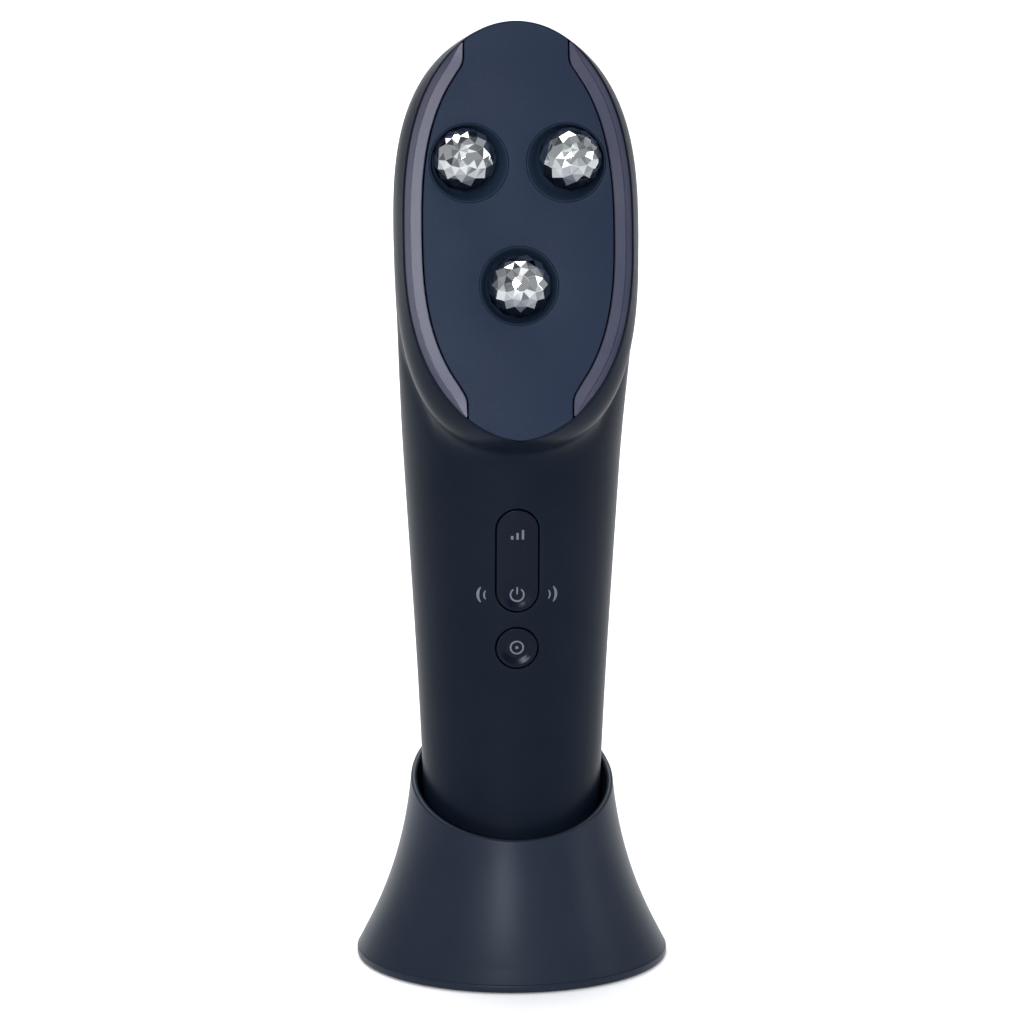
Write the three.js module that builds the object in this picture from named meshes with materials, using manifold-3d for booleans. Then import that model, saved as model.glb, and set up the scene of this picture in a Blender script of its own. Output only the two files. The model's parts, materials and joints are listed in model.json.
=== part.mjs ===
// A facial lifting brush standing in its holder. Millimetres, +Z up.
// The origin is the middle of the holder's foot on the table, and the brush looks towards -Y.
import * as THREE from "three";
import { mergeVertices } from "three/addons/utils/BufferGeometryUtils.js";
import Module from "manifold-3d";

const wasm = await Module();
wasm.setup();

// Clearances shared by pieces that meet
const seatGap = 0.3; // between pieces that rest on or in each other
const cutReach = 60; // how far slabs and drills that cut a piece run past it
const keyGap = 0.35; // round a key, between it and the case
const pinGap = 0.1; // round the pivot pin

// Face of the head: an oval plane, tilted back
const faceTilt = THREE.MathUtils.degToRad(12);
const faceHalfWidth = 24.15;
const faceHalfLength = 44.15;
const faceMiddleY = -24;
const faceMiddleZ = 162.85;
const upperShape = { across: 2, along: 2.5 }; // exponents of the oval's upper half
const lowerShape = { across: 1.75, along: 2.65 }; // and of its lower half
const upperBackShape = { across: 2, along: 2.8 }; // upper half of the head's widest line
const lowerBackShape = { across: 2.7, along: 2.7 }; // and its lower half
const rimWidth = 0.5; // case edge that shows round the face
const rimChamfer = 0.3;

// Flared wall behind the face
const widestDepth = 8; // depth behind the face where the head is widest
const sideFlare = 1.65;
const topFlare = 0;
const bottomFlare = 1.3;
const flangeDepth = 14;
const topRounding = 14; // how the wall rounds off behind its widest line, at its top
const sideRounding = 20; // and at its sides

// Body of the brush
const caseWall = 1.8;
const brushBottomZ = 9.6;
const handleHalfWidth = 19.1;
const handleWiden = 0.028; // how fast the handle starts to widen, per mm of height
const headWiden = 0.027; // and how fast it still does under the head
const handleFront = 17.8; // depth of the handle in front of its axis
const handleBack = 17.4;
const neckFront = 22.4; // depth of the front under the chin
const headBackY = 8.6; // back of the head behind its widest line
const straightTopZ = 45; // the handle is straight up to here
const bendStartZ = 108; // its sides lean forward from here
const neckTopZ = 122;
const headBackSlope = -0.13;
const crownFront = 4; // how far the body reaches in front of the head's widest line
const bottomRounding = 2.2;
const partingBehind = 1.5; // parting line behind the widest line

// Face plate, side lights and what lies under them
const plateThickness = 2.4;
const gasketThickness = 0.5;
const gasketWidth = 2;
const stripWidth = 3.4;
const stripThickness = 1.6;
const stripBevel = 0.5;
const boardThickness = 0.8;
const ledSize = 1.4;
const ledHeight = 0.4;
const ledCount = 5;
const ledPitch = 12;
const ridgePlace = 0.45; // share of the light's width from the plate to its ridge
const stripEndWidth = 0.5;
const lobeHalfWidth = 11.2; // the plate reaches the rim between the lights' ends
const hookEnd = 38.2; // along the face, where the lights' inner edge has turned in
const hookLength = 5.2;
const pocketDepth = plateThickness + gasketThickness + 2 * seatGap;

// Faceted tips
const tipLand = 0.45; // plate left between a tip's hole and the light
const tipPairGap = 3.3; // plate left between the two upper holes
const collarWidth = 1.75; // from a tip to the edge of its hole
const tipUpperV = 14.3;
const tipLowerV = -11.5;
const tipLeanOut = THREE.MathUtils.degToRad(13);
const tipLeanUp = THREE.MathUtils.degToRad(11);
const tipPivotDepth = 3.6; // behind the face, where a leaning tip's axis meets that of its hole
const facetsPerRing = 12;
const facetPolars = [15, 31, 46, 60, 75, 92]; // degrees from the tip's axis, ring by ring
const tipSkirtPolar = THREE.MathUtils.degToRad(100);
const stemRadius = 2.4;
const stemLength = 8.6;
const contactRadius = 4.2;
const contactThickness = 0.6;
const collarDrop = 0.5; // collar's lip below the face

// Keys on the front of the handle
const pillZ = 91.8;
const pillHalfLength = 11.1;
const pillHalfWidth = 4.4;
const roundKeyZ = 72.5;
const roundKeyRadius = 4.35;
const keyBackY = -16.6;
const postReach = 8.4; // pill's posts from its pivot
const postRadius = 1.2;
const postEndY = -13.9;
const pinRadius = 0.8;
const pinY = -14.9;
const pinHalfLength = 3.6;
const lugHalfWidth = 1.5;
const lugRadius = 1.4;
const pillDish = { z: 84.3, radius: 3.7, depth: 0.5 }; // hollow for a fingertip at the pill's lower end
const roundDish = { z: roundKeyZ, radius: 4, depth: 0.8 };
const flangeRadius = 5.4;
const flangeThickness = 0.9;
const flangeFrontY = -16.1;

// Boards, battery and motor on the chassis
const boardFrontY = -10.9;
const mainBoardThickness = 1.2;
const mainBoardHalfWidth = 11.5;
const mainBoardBottomZ = 54;
const mainBoardTopZ = 113;
const switchSize = 4.6;
const switchHeight = 1.4;
const plungerRadius = 1;
const plungerGap = 0.5; // left between a key's post and the plunger
const framePlate = 0.8;
const frameHalfWidth = 7.4;
const chassisThickness = 1.8;
const chassisBottomZ = 22;
const chassisTopZ = 149;
const batteryRadius = 7.1;
const batteryLength = 50;
const batteryMiddleZ = 82;
const cradleWall = 1.4;
const motorRadius = 6;
const motorLength = 16;
const motorBottomZ = 121;
const shaftRadius = 0.75;
const weightRadius = 4.6;
const weightLength = 5;
const shaftShowing = 2; // shaft between the can and the weight
const clampThickness = 1;
const clampWidth = 5;

// Bottom cap of the brush
const capThickness = 3.4;
const plugHeight = 5.4;
const plugWall = 2.2;
const sealHeight = 1.4;
const sealThickness = 1.2;
const inletHalfWidth = 4.4;
const inletHalfHeight = 1.6;
const inletDepth = 6.6;
const inletWall = 0.4;
const capScrewX = 10.6;
const screwRadius = 1.1;
const screwHeadRadius = 2.1;
const screwHeadHeight = 1.3;
const capScrewLength = 17;

// Holder
const holderRimRadius = 21.9;
const holderBaseRadius = 34;
const holderWall = 1.4;
const holderRimZ = 40.5; // height of the slanted rim over the origin
const holderRimTilt = THREE.MathUtils.degToRad(22);
const holderTopZ = 54;
const flareTopZ = 42; // the wall is straight above here
const flareShape = { even: 0.28, power: 2.25 }; // share that widens evenly, and how the rest grows
const baseBandHeight = 1.7;
const shellBottomZ = 0.3;
const footInset = 1.1; // from the inside of the shell to the foot pad
const footThickness = 1.3;
const basePlateThickness = 2;
const cupClearance = 0.5;
const cupWall = 1.3;
const cupRimZ = 25;
const cupFloor = 1.6;
const basePlateInset = 1.6; // from the inside of the shell to the base plate
const ballastRadius = 15;
const ballastThickness = 2.2;
const bossTopZ = 16;
const bossRadius = 3;
const bossSink = 1.2; // how far a boss's axis stands inside the wall's inner side at its top
const holderScrewLength = 7;
const holderScrewCount = 3;

// A closed position-only geometry as a solid, turned face out if need be.
function solid(geometry) {
  const bare = new THREE.BufferGeometry().setAttribute("position", geometry.getAttribute("position"));
  if (geometry.index) bare.setIndex(geometry.index);
  const merged = mergeVertices(bare, 1e-4);
  const position = merged.attributes.position.array;
  const corners = [];
  const index = merged.index.array;
  for (let i = 0; i < index.length; i += 3) {
    const [a, b, c] = [index[i], index[i + 1], index[i + 2]];
    if (a !== b && b !== c && c !== a) corners.push([a, b, c]);
  }
  const at = (i) => new THREE.Vector3().fromArray(position, 3 * i);
  const volume = corners.reduce((sum, [a, b, c]) => sum + at(a).dot(at(b).cross(at(c))), 0);
  const triVerts = new Uint32Array(corners.flatMap(([a, b, c]) => (volume < 0 ? [a, c, b] : [a, b, c])));
  return new wasm.Manifold(new wasm.Mesh({ numProp: 3, vertProperties: position, triVerts }));
}

// The solid back as a geometry for a mesh.
function geometryOf(body) {
  const mesh = body.getMesh();
  const count = mesh.numVert;
  const position = new Float32Array(count * 3);
  for (let i = 0; i < count; i++) {
    position.set(mesh.vertProperties.subarray(i * mesh.numProp, i * mesh.numProp + 3), i * 3);
  }
  const geometry = new THREE.BufferGeometry();
  geometry.setAttribute("position", new THREE.BufferAttribute(position, 3));
  geometry.setIndex(new THREE.BufferAttribute(mesh.triVerts, 1));
  const flat = geometry.toNonIndexed();
  flat.computeVertexNormals();
  return flat;
}

const join = (first, ...rest) => rest.reduce((sum, next) => sum.add(next), first);
const cut = (first, ...rest) => rest.reduce((sum, next) => sum.subtract(next), first);

// Rings of equally many points, skinned into one closed body with flat ends.
function skin(rings) {
  const count = rings[0].length;
  const points = rings.flat();
  const middleOf = (ring) =>
    ring.reduce((sum, p) => sum.add(p), new THREE.Vector3()).divideScalar(ring.length);
  points.push(middleOf(rings[0]), middleOf(rings[rings.length - 1]));
  const index = [];
  for (let r = 0; r + 1 < rings.length; r++) {
    for (let i = 0; i < count; i++) {
      const j = (i + 1) % count;
      const [a, b, c, d] = [r * count + i, r * count + j, (r + 1) * count + j, (r + 1) * count + i];
      index.push(a, b, c, a, c, d);
    }
  }
  const last = (rings.length - 1) * count;
  for (let i = 0; i < count; i++) {
    const j = (i + 1) % count;
    index.push(points.length - 2, j, i, points.length - 1, last + i, last + j);
  }
  const geometry = new THREE.BufferGeometry().setFromPoints(points);
  geometry.setIndex(index);
  return solid(geometry);
}

function block(low, high) {
  const geometry = new THREE.BoxGeometry(high[0] - low[0], high[1] - low[1], high[2] - low[2]);
  geometry.translate((low[0] + high[0]) / 2, (low[1] + high[1]) / 2, (low[2] + high[2]) / 2);
  return solid(geometry);
}

// A round bar from one point to another.
function rod(from, to, radius, sides = 14) {
  const start = new THREE.Vector3(...from);
  const end = new THREE.Vector3(...to);
  const along = end.clone().sub(start);
  const geometry = new THREE.CylinderGeometry(radius, radius, along.length(), sides);
  const turn = new THREE.Quaternion().setFromUnitVectors(new THREE.Vector3(0, 1, 0), along.clone().normalize());
  geometry.applyQuaternion(turn);
  geometry.translate(...start.add(end).multiplyScalar(0.5).toArray());
  return solid(geometry);
}

// A profile of [radius, height] points turned about the vertical axis.
function turned(profile, sides) {
  const geometry = new THREE.LatheGeometry(profile.map(([r, z]) => new THREE.Vector2(r, z)), sides);
  geometry.rotateX(Math.PI / 2);
  return solid(geometry);
}

// An outline extruded along Z, then moved by a matrix.
function extruded(outline, depth, matrix, bevel = 0) {
  const shape = Array.isArray(outline) ? new THREE.Shape(outline) : outline;
  const geometry = new THREE.ExtrudeGeometry(shape, {
    depth: depth - 2 * bevel,
    bevelEnabled: bevel > 0,
    bevelThickness: bevel,
    bevelSize: bevel,
    bevelOffset: -bevel,
    bevelSegments: 1,
    curveSegments: 6,
  });
  geometry.translate(0, 0, bevel);
  geometry.applyMatrix4(matrix);
  return solid(geometry);
}

// Directions of the face: across is X, along points up the face, and out is its normal.
const faceAlong = new THREE.Vector3(0, Math.sin(faceTilt), Math.cos(faceTilt));
const faceOut = new THREE.Vector3(0, -Math.cos(faceTilt), Math.sin(faceTilt));
const faceMiddle = new THREE.Vector3(0, faceMiddleY, faceMiddleZ);

// The point at x across, v along and depth behind the face.
function facePoint(x, v, depth) {
  return faceMiddle.clone().addScaledVector(faceAlong, v).addScaledVector(faceOut, -depth).setX(x);
}

// A matrix that takes x, y and z to across, along and out, from the given depth.
function faceMatrix(depth) {
  return new THREE.Matrix4()
    .makeBasis(new THREE.Vector3(1, 0, 0), faceAlong, faceOut)
    .setPosition(facePoint(0, 0, depth));
}

// Half of an oval of unit size: its half-width at a share t of its length.
const arc = (t, shape) => Math.pow(Math.max(0, 1 - Math.pow(Math.min(1, Math.abs(t)), shape.along)), 1 / shape.across);

// Half-width of an oval like the face at v along it.
const ovalHalfWidth = (v, halfWidth, halfLength) => halfWidth * arc(v / halfLength, v > 0 ? upperShape : lowerShape);

// Points of such an oval, anticlockwise.
function ovalPoints(halfWidth, topLength, bottomLength, count, topShape = upperShape, bottomShape = lowerShape) {
  return Array.from({ length: count }, (_, i) => {
    const angle = (2 * Math.PI * i) / count;
    const [c, s] = [Math.cos(angle), Math.sin(angle)];
    const shape = s > 0 ? topShape : bottomShape;
    const length = s > 0 ? topLength : bottomLength;
    return new THREE.Vector2(
      halfWidth * Math.sign(c) * Math.pow(Math.abs(c), 2 / shape.across),
      length * Math.sign(s) * Math.pow(Math.abs(s), 2 / shape.along),
    );
  });
}

// Smooth curve between two heights with a value and a slope at each.
function hermite(z, z0, y0, slope0, z1, y1, slope1) {
  const h = z1 - z0;
  const t = THREE.MathUtils.clamp((z - z0) / h, 0, 1);
  const t2 = t * t;
  const t3 = t2 * t;
  return (
    (2 * t3 - 3 * t2 + 1) * y0 + (t3 - 2 * t2 + t) * h * slope0 + (3 * t2 - 2 * t3) * y1 + (t3 - t2) * h * slope1
  );
}

// Where the head is widest, its line runs parallel to the face.
const faceSlope = Math.tan(faceTilt);
const widestMiddle = facePoint(0, 0, widestDepth);
const widestY = (z) => widestMiddle.y + (z - widestMiddle.z) * faceSlope;
const headHalfWidth = faceHalfWidth + sideFlare;
const headTopZ = facePoint(0, faceHalfLength + topFlare, widestDepth).z;
const widenStartZ = brushBottomZ + 20;

// Cross-section of the body at height z, taken in by an inset: half-width, middle, front and back.
function bodySection(z, inset) {
  const wide = widestMiddle.z;
  if (z <= wide) {
    const middle = hermite(z, bendStartZ, 0, 0, wide, widestMiddle.y, faceSlope);
    const neckFrontY = -neckFront;
    const front =
      z < neckTopZ
        ? hermite(z, straightTopZ, -handleFront, -0.02, neckTopZ, neckFrontY, -0.02)
        : hermite(z, neckTopZ, neckFrontY, -0.02, wide, widestMiddle.y - crownFront, faceSlope);
    const back = hermite(z, straightTopZ, handleBack, 0.01, wide, headBackY, headBackSlope);
    return {
      half: hermite(z, widenStartZ, handleHalfWidth, handleWiden, wide, headHalfWidth, headWiden) - inset,
      middle,
      front: middle - front - inset,
      back: back - middle - inset,
    };
  }
  const v = (z - wide) / Math.cos(faceTilt);
  const length = faceHalfLength + topFlare - inset;
  const t = v / length;
  const middle = widestY(z);
  const roundness = arc(t, upperBackShape);
  return {
    half: (headHalfWidth - inset) * roundness,
    middle,
    front: Math.max(0.02, crownFront - inset / 2) * roundness,
    back: Math.max(0, headBackY + (z - wide) * headBackSlope - middle - inset) * roundness,
  };
}

function sectionRing(z, inset, count) {
  const { half, middle, front, back } = bodySection(z, inset);
  return Array.from({ length: count }, (_, i) => {
    const angle = (2 * Math.PI * i) / count;
    const depth = Math.sin(angle) > 0 ? back : front;
    return new THREE.Vector3(half * Math.cos(angle), middle + depth * Math.sin(angle), z);
  });
}

// The body from a bottom height to its rounded top, without the flared wall behind the face.
function bodyLoft(bottomZ, inset, count, steps, rounding = 0) {
  const rings = [];
  if (rounding > 0) {
    for (const angle of [0, Math.PI / 6, Math.PI / 3]) {
      rings.push(sectionRing(bottomZ + rounding * (1 - Math.cos(angle)), inset + rounding * (1 - Math.sin(angle)), count));
    }
  }
  const startZ = bottomZ + rounding;
  const wide = widestMiddle.z;
  for (let i = 0; i <= steps; i++) {
    rings.push(sectionRing(THREE.MathUtils.lerp(startZ, wide, i / steps), inset, count));
  }
  const crownZ = headTopZ - inset * Math.cos(faceTilt);
  const crownSteps = Math.round(steps * 0.6);
  for (let i = 1; i <= crownSteps; i++) {
    const share = Math.sin(((i / crownSteps) * 0.985 * Math.PI) / 2);
    rings.push(sectionRing(THREE.MathUtils.lerp(wide, crownZ, share), inset, count));
  }
  return skin(rings);
}

// The flared wall from the face back into the body.
function flangeLoft(startDepth, inset, count) {
  const behind = flangeDepth - widestDepth;
  const depths = [startDepth, 0.35 * widestDepth, 0.7 * widestDepth, widestDepth, widestDepth + behind / 2, flangeDepth]
    .filter((d) => d >= startDepth);
  const ringAt = (depth, chamfer = 0) => {
    const flare = Math.sin((Math.min(depth / widestDepth, 1) * Math.PI) / 2);
    const past = Math.max(0, depth - widestDepth);
    const roundTop = Math.sqrt(1 - Math.pow(past / topRounding, 2));
    const roundSide = Math.sqrt(1 - Math.pow(past / sideRounding, 2));
    const between = (front, back) => ({
      across: THREE.MathUtils.lerp(front.across, back.across, flare),
      along: THREE.MathUtils.lerp(front.along, back.along, flare),
    });
    return ovalPoints(
      (faceHalfWidth + sideFlare * flare) * roundSide - inset - chamfer,
      (faceHalfLength + topFlare * flare) * roundTop - inset - chamfer,
      faceHalfLength + bottomFlare * flare - inset - chamfer,
      count,
      between(upperShape, upperBackShape),
      between(lowerShape, lowerBackShape),
    ).map((p) => facePoint(p.x, p.y, depth));
  };
  const rings = depths.map((depth) => ringAt(depth));
  if (startDepth === 0) rings.splice(0, 1, ringAt(0, rimChamfer), ringAt(rimChamfer));
  return skin(rings);
}

// Everything in front of the parting line, or behind it, as a slab wider than the body.
function partingSlab(sign) {
  const far = cutReach;
  const offset = partingBehind + (sign * seatGap) / 2;
  const bends = 6;
  const bendHeights = Array.from({ length: bends + 1 }, (_, i) =>
    THREE.MathUtils.lerp(bendStartZ, widestMiddle.z, i / bends));
  const heights = [0, ...bendHeights, headTopZ + far];
  const line = heights.map((z) => {
    const middle = z <= widestMiddle.z ? bodySection(z, 0).middle : widestY(z);
    return new THREE.Vector2(middle + offset, z);
  });
  const edge = [new THREE.Vector2(sign * far, heights.at(-1)), new THREE.Vector2(sign * far, 0)];
  const matrix = new THREE.Matrix4().set(0, 0, 1, -far, 1, 0, 0, 0, 0, 1, 0, 0, 0, 0, 0, 1);
  return extruded([...line, ...edge], 2 * far, matrix);
}

// Outline of the face plate: it reaches the rim between the lights and is drawn in beside them.
function plateHalfWidth(v, inset) {
  const rim = ovalHalfWidth(v, faceHalfWidth - rimWidth - inset, faceHalfLength - rimWidth - inset);
  const drawn = ovalHalfWidth(v, faceHalfWidth - rimWidth - stripWidth - inset, faceHalfLength - stripWidth - inset);
  const turn = THREE.MathUtils.smoothstep(hookEnd - Math.abs(v), 0, hookLength);
  const lobe = lobeHalfWidth - inset;
  return Math.min(rim, THREE.MathUtils.lerp(lobe, Math.max(lobe, drawn), turn));
}

// Heights of the ends of the lights along the face, and the heights between them that outlines use.
const lightHeights = (() => {
  const width = (v) =>
    ovalHalfWidth(v, faceHalfWidth - rimWidth, faceHalfLength - rimWidth) - plateHalfWidth(v, seatGap) - 2 * seatGap;
  const [topEnd, bottomEnd] = [1, -1].map((side) => {
    let v = 0;
    while (width(side * v) > stripEndWidth && v < faceHalfLength) v += 0.1;
    return side * (v - 0.1);
  });
  const steps = 20;
  return Array.from({ length: steps + 1 }, (_, i) =>
    THREE.MathUtils.lerp(bottomEnd, topEnd, (1 - Math.cos((Math.PI * i) / steps)) / 2));
})();

function plateOutline(inset) {
  const length = faceHalfLength - rimWidth - inset;
  const lobe = (from) => [0.02, 0.14, 0.34, 0.62].map((share) => THREE.MathUtils.lerp(Math.sign(from) * length, from, share));
  const heights = [...lobe(lightHeights[0]), ...lightHeights, ...lobe(lightHeights.at(-1)).reverse()];
  const right = heights.map((v) => new THREE.Vector2(plateHalfWidth(v, inset), v));
  const left = right.map((p) => new THREE.Vector2(-p.x, p.y)).reverse();
  return [...right, ...left];
}

// Inner and outer edge of a light at each of those heights.
function lightEdges(inset) {
  return lightHeights.map((v) => ({
    v,
    inner: plateHalfWidth(v, seatGap) + seatGap + inset,
    outer: ovalHalfWidth(v, faceHalfWidth - rimWidth, faceHalfLength - rimWidth) - seatGap - inset,
  }));
}

// The two upper holes fill the plate's width, and all three tips have one size.
const tipHoleRadius = (plateHalfWidth(tipUpperV, seatGap) - tipLand - tipPairGap / 2) / 2;
const tipRadius = tipHoleRadius - collarWidth;
const tipUpperX = tipPairGap / 2 + tipHoleRadius;

// Where each faceted tip stands on the face and how it leans.
const tips = [
  { name: "left", x: -tipUpperX, v: tipUpperV, leanOut: -tipLeanOut, leanUp: tipLeanUp },
  { name: "right", x: tipUpperX, v: tipUpperV, leanOut: tipLeanOut, leanUp: tipLeanUp },
  { name: "lower", x: 0, v: tipLowerV, leanOut: 0, leanUp: 0 },
];

// A tip's matrix: its z axis points out of the face along the tip.
function tipMatrix(tip) {
  const local = new THREE.Matrix4()
    .makeTranslation(tip.x, tip.v, -tipPivotDepth)
    .multiply(new THREE.Matrix4().makeRotationY(tip.leanOut))
    .multiply(new THREE.Matrix4().makeRotationX(-tip.leanUp))
    .multiply(new THREE.Matrix4().makeTranslation(0, 0, tipPivotDepth));
  return faceMatrix(0).multiply(local);
}

const moved = (geometry, matrix) => solid(geometry.applyMatrix4(matrix));

// A rod along a tip's own axis, between two heights over the tip's centre.
function tipRod(tip, low, high, radius, sides = 14) {
  const geometry = new THREE.CylinderGeometry(radius, radius, high - low, sides);
  geometry.rotateX(Math.PI / 2).translate(0, 0, (low + high) / 2);
  return moved(geometry, tipMatrix(tip));
}

// A rod square to the face under a tip, between two depths.
function faceRod(tip, shallow, deep, radius, sides = 24) {
  return rod(facePoint(tip.x, tip.v, shallow).toArray(), facePoint(tip.x, tip.v, deep).toArray(), radius, sides);
}

// A dome cut with triangular facets, on a short skirt and a stem.
function facetedTip(tip) {
  const rings = facetPolars.map((degrees, ring) => {
    const polar = THREE.MathUtils.degToRad(degrees);
    return Array.from({ length: facetsPerRing }, (_, i) => {
      const turn = (2 * Math.PI * (i + ((ring + 1) % 2) / 2)) / facetsPerRing;
      const radius = tipRadius * Math.sin(polar);
      return new THREE.Vector3(radius * Math.cos(turn), radius * Math.sin(turn), tipRadius * Math.cos(polar));
    });
  });
  const skirtRadius = tipRadius * Math.sin(tipSkirtPolar);
  const skirtZ = tipRadius * Math.cos(tipSkirtPolar);
  const last = facetPolars.length - 1;
  rings.push(rings[last].map((p) => p.clone().setZ(0).setLength(skirtRadius * 0.98).setZ(skirtZ)));
  const points = [new THREE.Vector3(0, 0, tipRadius), ...rings.flat(), new THREE.Vector3(0, 0, skirtZ)];
  const at = (ring, i) => 1 + ring * facetsPerRing + ((i + facetsPerRing) % facetsPerRing);
  const index = [];
  for (let i = 0; i < facetsPerRing; i++) {
    index.push(0, at(0, i), at(0, i + 1));
    for (let ring = 0; ring < last; ring++) {
      const shift = (ring + 1) % 2;
      index.push(at(ring, i), at(ring + 1, i + shift), at(ring, i + 1));
      index.push(at(ring, i), at(ring + 1, i + shift - 1), at(ring + 1, i + shift));
    }
    index.push(at(last, i), at(last + 1, i), at(last, i + 1));
    index.push(at(last, i + 1), at(last + 1, i), at(last + 1, i + 1));
    index.push(points.length - 1, at(last + 1, i + 1), at(last + 1, i));
  }
  const geometry = new THREE.BufferGeometry().setFromPoints(points);
  geometry.setIndex(index);
  return join(moved(geometry, tipMatrix(tip)), tipRod(tip, -stemLength, skirtZ + 0.5, stemRadius, 12));
}

// The bowl-shaped collar that seats a tip in the face plate.
function tipCollar(tip) {
  const bowl = moved(new THREE.SphereGeometry(tipRadius + seatGap, 20, 8), tipMatrix(tip));
  const stemHole = tipRod(tip, -stemLength, 0, stemRadius + seatGap, 12);
  const blank = faceRod(tip, collarDrop, pocketDepth - seatGap, tipHoleRadius - seatGap);
  return cut(blank, bowl, stemHole);
}

// A sprung contact ring on the stem, behind the floor of the face pocket.
function tipContact(tip) {
  const tilt = Math.abs(Math.sin(tip.leanOut)) + Math.abs(Math.sin(tip.leanUp));
  const top = -(pocketDepth + caseWall + seatGap) / Math.cos(tip.leanOut) - contactRadius * tilt;
  const disc = tipRod(tip, top - contactThickness, top, contactRadius, 16);
  const tail = moved(
    new THREE.BoxGeometry(1.6, 3, contactThickness).translate(0, contactRadius + 1, top - contactThickness / 2),
    tipMatrix(tip),
  );
  return cut(join(disc, tail), tipRod(tip, -30, 0, stemRadius + pinGap, 12));
}

const pocketOval = (inset) =>
  ovalPoints(faceHalfWidth - rimWidth - inset, faceHalfLength - rimWidth - inset, faceHalfLength - rimWidth - inset, 44);

const keyMatrix = (y, z) => new THREE.Matrix4().set(1, 0, 0, 0, 0, 0, -1, y, 0, 1, 0, z, 0, 0, 0, 1);

// A pill outline round the origin, long side upright.
function pillShape(halfWidth, halfLength) {
  const shape = new THREE.Shape();
  const straight = halfLength - halfWidth;
  shape.absarc(0, straight, halfWidth, 0, Math.PI, false);
  shape.absarc(0, -straight, halfWidth, Math.PI, 2 * Math.PI, false);
  shape.closePath();
  return shape;
}

const frontOpening = 40; // key cuts run this far forward

// The two halves of the case.
const outerBody = join(bodyLoft(brushBottomZ, 0, 32, 10, bottomRounding), flangeLoft(0, 0, 40));
const caseBottomZ = brushBottomZ + capThickness + seatGap;
const cavity = join(bodyLoft(0, caseWall, 20, 7), flangeLoft(pocketDepth + caseWall, caseWall, 24));
const innerFit = bodyLoft(0, caseWall + seatGap, 20, 7);
function caseShell() {
  const below = block([-40, -40, -5], [40, 40, caseBottomZ]);
  const pocket = extruded(pocketOval(0), pocketDepth + 5, faceMatrix(pocketDepth));
  const pillHole = extruded(
    pillShape(pillHalfWidth + keyGap, pillHalfLength + keyGap), frontOpening, keyMatrix(0, pillZ));
  const roundHole = rod([0, 0, roundKeyZ], [0, -frontOpening, roundKeyZ], roundKeyRadius + keyGap, 24);
  const stemHoles = tips.map((tip) => tipRod(tip, -stemLength, 0, stemRadius + seatGap + 0.2, 12));
  return cut(outerBody, cavity, below, pocket, pillHole, roundHole, ...stemHoles);
}
const shell = caseShell();
const frontCase = shell.intersect(partingSlab(-1));
const rearCase = shell.intersect(partingSlab(1));

// Face plate with its round holes, and the gasket under its edge.
function facePlate() {
  const plate = extruded(plateOutline(seatGap), plateThickness, faceMatrix(plateThickness));
  return cut(plate, ...tips.map((tip) => faceRod(tip, -2, plateThickness + 1, tipHoleRadius)));
}

function faceGasket() {
  const top = pocketDepth - seatGap;
  const matrix = faceMatrix(top);
  const outer = extruded(plateOutline(seatGap), gasketThickness, matrix);
  const hollow = ovalPoints(lobeHalfWidth - gasketWidth, faceHalfLength - rimWidth - 2 * gasketWidth,
    faceHalfLength - rimWidth - 2 * gasketWidth, 24);
  const inner = extruded(hollow, 4, faceMatrix(top + 1));
  return cut(outer, inner, ...tips.map((tip) => faceRod(tip, -2, pocketDepth + 2, tipHoleRadius)));
}

// A light: a bar with a ridge along its face, following the edge of the head.
function lightStrip(side) {
  const rings = lightEdges(0).map(({ v, inner, outer }) => {
    const ridge = THREE.MathUtils.lerp(inner, outer, ridgePlace);
    const bevel = Math.min(stripBevel, (outer - inner) / 3);
    const corners = [[inner, stripThickness], [inner, bevel], [ridge, 0], [outer, bevel * 0.8], [outer, stripThickness]];
    return corners.map(([x, depth]) => facePoint(side * x, v, depth));
  });
  return skin(rings);
}

// Small board under a light with a row of light sources on it.
function lightBoard(side) {
  const top = pocketDepth - seatGap - boardThickness;
  const rings = lightEdges(0.15).map(({ v, inner, outer }) => {
    const corners = [[inner, top], [outer, top], [outer, top + boardThickness], [inner, top + boardThickness]];
    return corners.map(([x, depth]) => facePoint(side * x, v, depth));
  });
  const leds = Array.from({ length: ledCount }, (_, i) => {
    const v = (i - (ledCount - 1) / 2) * ledPitch;
    const outer = ovalHalfWidth(v, faceHalfWidth - rimWidth, faceHalfLength - rimWidth);
    const x = (side * (outer + plateHalfWidth(v, 0))) / 2;
    const geometry = new THREE.BoxGeometry(ledSize, ledSize, ledHeight + 0.3);
    geometry.translate(x, v, (ledHeight - 0.3) / 2);
    return moved(geometry, faceMatrix(top));
  });
  return join(skin(rings), ...leds);
}

// A bowl-ended rod that cuts a dish as wide and deep as asked into the front of the body.
function dishBall({ z, radius, depth }) {
  const { middle, front } = bodySection(z, 0);
  const ball = (radius * radius + depth * depth) / (2 * depth);
  const rings = 3;
  const profile = Array.from({ length: rings + 1 }, (_, i) => {
    const r = (radius * 1.25 * i) / rings;
    return [r, ball - Math.sqrt(ball * ball - r * r)];
  });
  const rim = profile.at(-1);
  const shape = turned([...profile, [rim[0], rim[1] + 5], [0, rim[1] + 5]], 16);
  const turn = new THREE.Matrix4().set(1, 0, 0, 0, 0, 0, -1, middle - front + depth, 0, 1, 0, z, 0, 0, 0, 1);
  return shape.transform(turn.toArray());
}

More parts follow.
